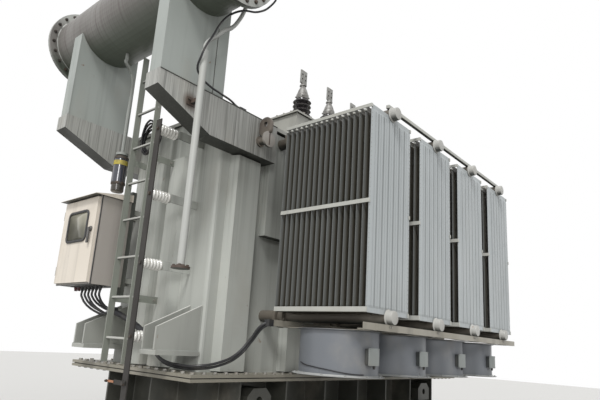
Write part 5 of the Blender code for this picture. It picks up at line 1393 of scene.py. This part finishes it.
# Filling pipe: a thin white pipe of bent steel tube, from the drain pipe's head up to an elbow
# that is welded to the shell's side.
FILL_RADIUS = 0.015
FILL_BENDS = ((0.22, 0.23), (0.41, 0.35), (0.62, 0.45), (0.80, 0.60), (0.93, 0.76))
head = Vector((axis_x + 0.305, pipe_y - 0.0215, axis_z - 0.018))
elbow = bmesh.new()
bar(elbow, head - Vector((0.028, 0, 0)), head + Vector((0.025, 0, 0)), 0.024, 24)
pipe_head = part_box("drain_pipe")[1].z
points = [Vector((pipe_x, pipe_y, pipe_head)), Vector((pipe_x, pipe_y, pipe_head + 0.043))]
for across, up_share in FILL_BENDS:
    x, z = pipe_x + (head.x - pipe_x) * across, pipe_head + (head.z - pipe_head) * up_share
    points.append(Vector((x, head.y, z)))
points += [head - Vector((0, 0, 0.055)), head]
piece(elbow, "fill_elbow", pipe_enamel)
hose("fill_pipe", points, FILL_RADIUS, white_pipe)


# Breather: a clear cylinder of dark blue drying gel between a dark cap and a glass oil cup, held
# by three tie rods, with a plain yellow band.
GEL_RADIUS, CUP_RADIUS, RIM_RADIUS = 0.052, 0.049, 0.055
ROD_PLACE, ROD_RADIUS = 0.0515, 0.003
BAND_INSIDE, BAND_OUTSIDE = 0.0538, 0.0542
GEL_BLUE, GEL_EDGE = (0.020, 0.022, 0.030), (0.060, 0.062, 0.080)
CUP_BROWN, CUP_DUST = (0.050, 0.045, 0.038), (0.12, 0.11, 0.095)
BAND_YELLOW, BAND_FADED = (0.42, 0.34, 0.05), (0.25, 0.21, 0.08)
low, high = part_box("breather")
x, y = (low.x + high.x) / 2, (low.y + high.y) / 2
gel, tree, shader, place = surface("blue_gel")
cells = tree.nodes.new("ShaderNodeTexVoronoi")
cells.inputs["Scale"].default_value = 240
tree.links.new(place, cells.inputs["Vector"])
look = coat(tree, GEL_BLUE, GEL_EDGE, cells.outputs["Distance"], 1.0)
tree.links.new(look, shader.inputs["Base Color"])
shader.inputs["Roughness"].default_value = 0.12
shader.inputs["Coat Weight"].default_value = 0.8
body = bmesh.new()
lathe(body, [(0, low.z + 0.074), (GEL_RADIUS, low.z + 0.074), (GEL_RADIUS, high.z - 0.030),
             (0, high.z - 0.030)], (x, y, 0))
item = piece(body, "breather_gel", gel)
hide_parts("breather")
frame_parts = bmesh.new()
lathe(frame_parts, [(0, low.z + 0.055), (CUP_RADIUS, low.z + 0.055), (RIM_RADIUS, low.z + 0.062),
                    (RIM_RADIUS, low.z + 0.076), (0, low.z + 0.076)], (x, y, 0))
lathe(frame_parts, [(0, high.z - 0.032), (RIM_RADIUS, high.z - 0.032), (RIM_RADIUS, high.z - 0.016),
                    (0.044, high.z - 0.004), (0.030, high.z), (0, high.z)], (x, y, 0))
for step in range(3):
    angle = math.tau * step / 3 + 0.6
    spot = Vector((x + ROD_PLACE * math.cos(angle), y + ROD_PLACE * math.sin(angle), 0))
    bar(frame_parts, spot + Vector((0, 0, low.z + 0.07)), spot + Vector((0, 0, high.z - 0.02)), ROD_RADIUS)
piece(frame_parts, "breather_frame", dark_bolts)
cup = bmesh.new()
lathe(cup, [(0, low.z), (0.042, low.z), (CUP_RADIUS, low.z + 0.008), (CUP_RADIUS, low.z + 0.056),
            (0, low.z + 0.056)], (x, y, 0))
cup_glass = two_tone("oil_cup_glass", CUP_BROWN, CUP_DUST, (18, 18, 18), (0.45, 0.72), 0.7, 0.18)[0]
piece(cup, "breather_cup", cup_glass)
band = bmesh.new()
lathe(band, [(BAND_INSIDE, high.z - 0.085), (BAND_OUTSIDE, high.z - 0.085), (BAND_OUTSIDE, high.z - 0.048),
             (BAND_INSIDE, high.z - 0.048)], (x, y, 0))
yellow = two_tone("yellow_band", BAND_YELLOW, BAND_FADED, (30, 30, 30), (0.45, 0.7), 0.7)[0]
piece(band, "breather_band", yellow)


# Control cables: black rubber-sheathed cables from glands under the cabinet to one binding, then
# a bundle behind the ladder and two leads under the jacking bracket to the fans' inner rail.
GLAND_COUNT = 8
GLAND_PITCH = 0.054
CABLE_RADIUS, BUNDLE_RADIUS, LEAD_RADIUS = 0.0085, 0.022, 0.009
CABLE_SEATS = ((-0.019, 0.012), (0.019, 0.012), (0.0, 0.012),
               (0.0, -0.012), (0.019, -0.012), (-0.019, -0.012))
BUNDLE_ROUTE = ((0.0, 0.0, 0.0), (0.022, -0.080, -0.030), (0.050, -0.220, -0.085), (0.080, -0.390, -0.180),
                (0.080, -0.510, -0.250))
LEAD_ROUTE = ((-1.850, -0.245, 0.609), (-1.842, -0.320, 0.562), (-1.835, -0.400, 0.538),
              (-1.830, -0.520, 0.529), (-1.830, -0.700, 0.534), (-1.690, -0.750, 0.560),
              (-1.560, -0.775, 0.620), (-1.490, -0.830, 0.730), (-1.475, -0.900, 0.815),
              (-1.435, -0.941, 0.853))
SHEATH_BLACK, SHEATH_DUST = (0.018, 0.018, 0.020), (0.075, 0.068, 0.058)
SPARE_RED, SPARE_DULL = (0.10, 0.018, 0.022), (0.045, 0.030, 0.030)
sheath = two_tone("cable_sheath", SHEATH_BLACK, SHEATH_DUST, (12, 12, 12), (0.48, 0.76), 0.7, 0.42)[0]
dress(bracket_enamel, "cabinet_bracket")
gland_x = body_low.x + 0.120
gland_foot = body_low.z
glands = bmesh.new()
gland_plate = (gland_x, body_low.y + 4.5 * GLAND_PITCH, gland_foot - 0.003)
block(glands, gland_plate, (0.060, 8.1 * GLAND_PITCH, 0.006))
spare_glands = bmesh.new()
binding = Vector((-1.93, 0.24, gland_foot - 0.176))
for index in range(GLAND_COUNT):
    y = body_low.y + (index + 1) * GLAND_PITCH
    used = index < len(CABLE_SEATS)
    bm = glands if used else spare_glands
    bar(bm, (gland_x, y, gland_foot - 0.005), (gland_x, y, gland_foot - 0.022), 0.0145, 6)
    bar(bm, (gland_x, y, gland_foot - 0.022), (gland_x, y, gland_foot - 0.034), 0.0115, 16)
    if used:
        seat_x, seat_z = CABLE_SEATS[index]
        end = binding + Vector((seat_x, 0, seat_z))
        hose(f"control_cable_{index + 1}",
             [(gland_x, y, gland_foot - 0.030), (gland_x, y, gland_foot - 0.075),
              (end.x, (y + end.y + 0.025) / 2, end.z - 0.002 * index), end], CABLE_RADIUS, sheath)
piece(glands, "cable_glands", black_plastic)
spare_plastic = two_tone("spare_gland_plastic", SPARE_RED, SPARE_DULL, (30, 30, 30), (0.42, 0.7), 0.7)[0]
piece(spare_glands, "spare_glands", spare_plastic)
clip = bmesh.new()
ease(clip, block(clip, binding, (0.064, 0.050, 0.052)), 0.008, 3)
end = Vector(LEAD_ROUTE[-1])
block(clip, end + Vector((-0.020, 0, 0)), (0.044, 0.044, 0.044))
piece(clip, "cable_binding", black_plastic)
hose("cable_bundle", [binding + Vector(step) for step in BUNDLE_ROUTE], BUNDLE_RADIUS, sheath)
for index in range(2):
    aside = index * Vector((-0.018, -0.010, 0.018))
    points = [Vector(point) + aside for point in LEAD_ROUTE[:-1]] + [end + aside / 2]
    hose(f"fan_lead_{index + 1}", points, LEAD_RADIUS, sheath)


# Spare cable: a hank of the same black cable, coiled in five uneven turns and hung behind the
# ladder's head.
HANK_MIDDLE = Vector((-1.80, 0.255, 2.325))
HANK_TURNS, HANK_POINTS = 5, 12
for index in range(HANK_TURNS):
    tall, wide = 0.150 - 0.012 * index, 0.088 + 0.008 * index
    lean = Vector((0.012 * index - 0.024, 0.010 * math.sin(2.3 * index), 0.008 * math.cos(1.9 * index)))
    angles = [math.tau * step / HANK_POINTS for step in range(HANK_POINTS + 1)]
    loop = [HANK_MIDDLE + lean + Vector((0, wide * math.sin(angle), tall * math.cos(angle)))
            for angle in angles]
    hose(f"cable_hank_{index + 1}", loop, CABLE_RADIUS, sheath, steps=3)


# Fan lead: a thin black wire laid round the first fan's ring, from the bundle to the ring's
# junction box.
WIRE_RADIUS = 0.0034
WIRE_REACH = RING_RADIUS + 0.003
WIRE_ROUTE = ((150, 0.616), (163, 0.603), (177, 0.596), (190, 0.589), (203, 0.582), (217, 0.573),
              (230, 0.566), (243, 0.563), (252, 0.563))
ring_low, ring_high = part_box("fan_shroud_1")
ring_x, ring_y = (ring_low.x + ring_high.x) / 2, ring_high.y - MOUTH_RADIUS
points = []
for angle, level in WIRE_ROUTE:
    turn = math.radians(angle)
    points.append((ring_x + WIRE_REACH * math.cos(turn), ring_y + WIRE_REACH * math.sin(turn), level))
hose("fan_ring_wire", points, WIRE_RADIUS, sheath, steps=3)


# Gauge cable: a black rubber-sheathed cable that hangs from the dial in a loop past the column and
# the drain pipe, to a plastic gland on the beam.
GAUGE_CABLE_RADIUS = 0.0075
GAUGE_CABLE_ROUTE = ((0.17, 0.36, 0.862), (0.32, 0.34, 0.88), (0.44, 0.28, 0.84),
                     (0.42, 0.235, 0.755), (0.335, 0.200, 0.672), (0.209, 0.180, 0.616),
                     (0.138, 0.150, 0.561), (0.065, 0.140, 0.460), (0.010, 0.130, 0.325),
                     (-0.037, 0.125, 0.220), (-0.046, 0.105, 0.156), (-0.030, 0.055, 0.085),
                     (0.030, 0.030, 0.054), (0.110, 0.022, 0.030), (0.220, 0.016, 0.020),
                     (0.325, 0.002, 0.018))
beam_low, beam_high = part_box("conservator_bracket_near")
points = [Vector((axis_x + GAUGE_RADIUS - 0.004, gauge_face + GAUGE_THICK / 2, axis_z))]
points += [Vector((axis_x + along, beam_low.y - out, beam_high.z + rise))
           for along, out, rise in GAUGE_CABLE_ROUTE]
gland = Vector((-1.645, beam_low.y + 0.030, beam_high.z + 0.0155))
points += [gland - Vector((0.030, 0, 0)), gland]
hose("gauge_cable", points, GAUGE_CABLE_RADIUS, sheath)
beam_gland = bmesh.new()
bar(beam_gland, gland, gland + Vector((0.045, 0, 0)), 0.0150, 6)
bar(beam_gland, gland - Vector((0.014, 0, 0)), gland, 0.0115, 16)
piece(beam_gland, "beam_gland", black_plastic)
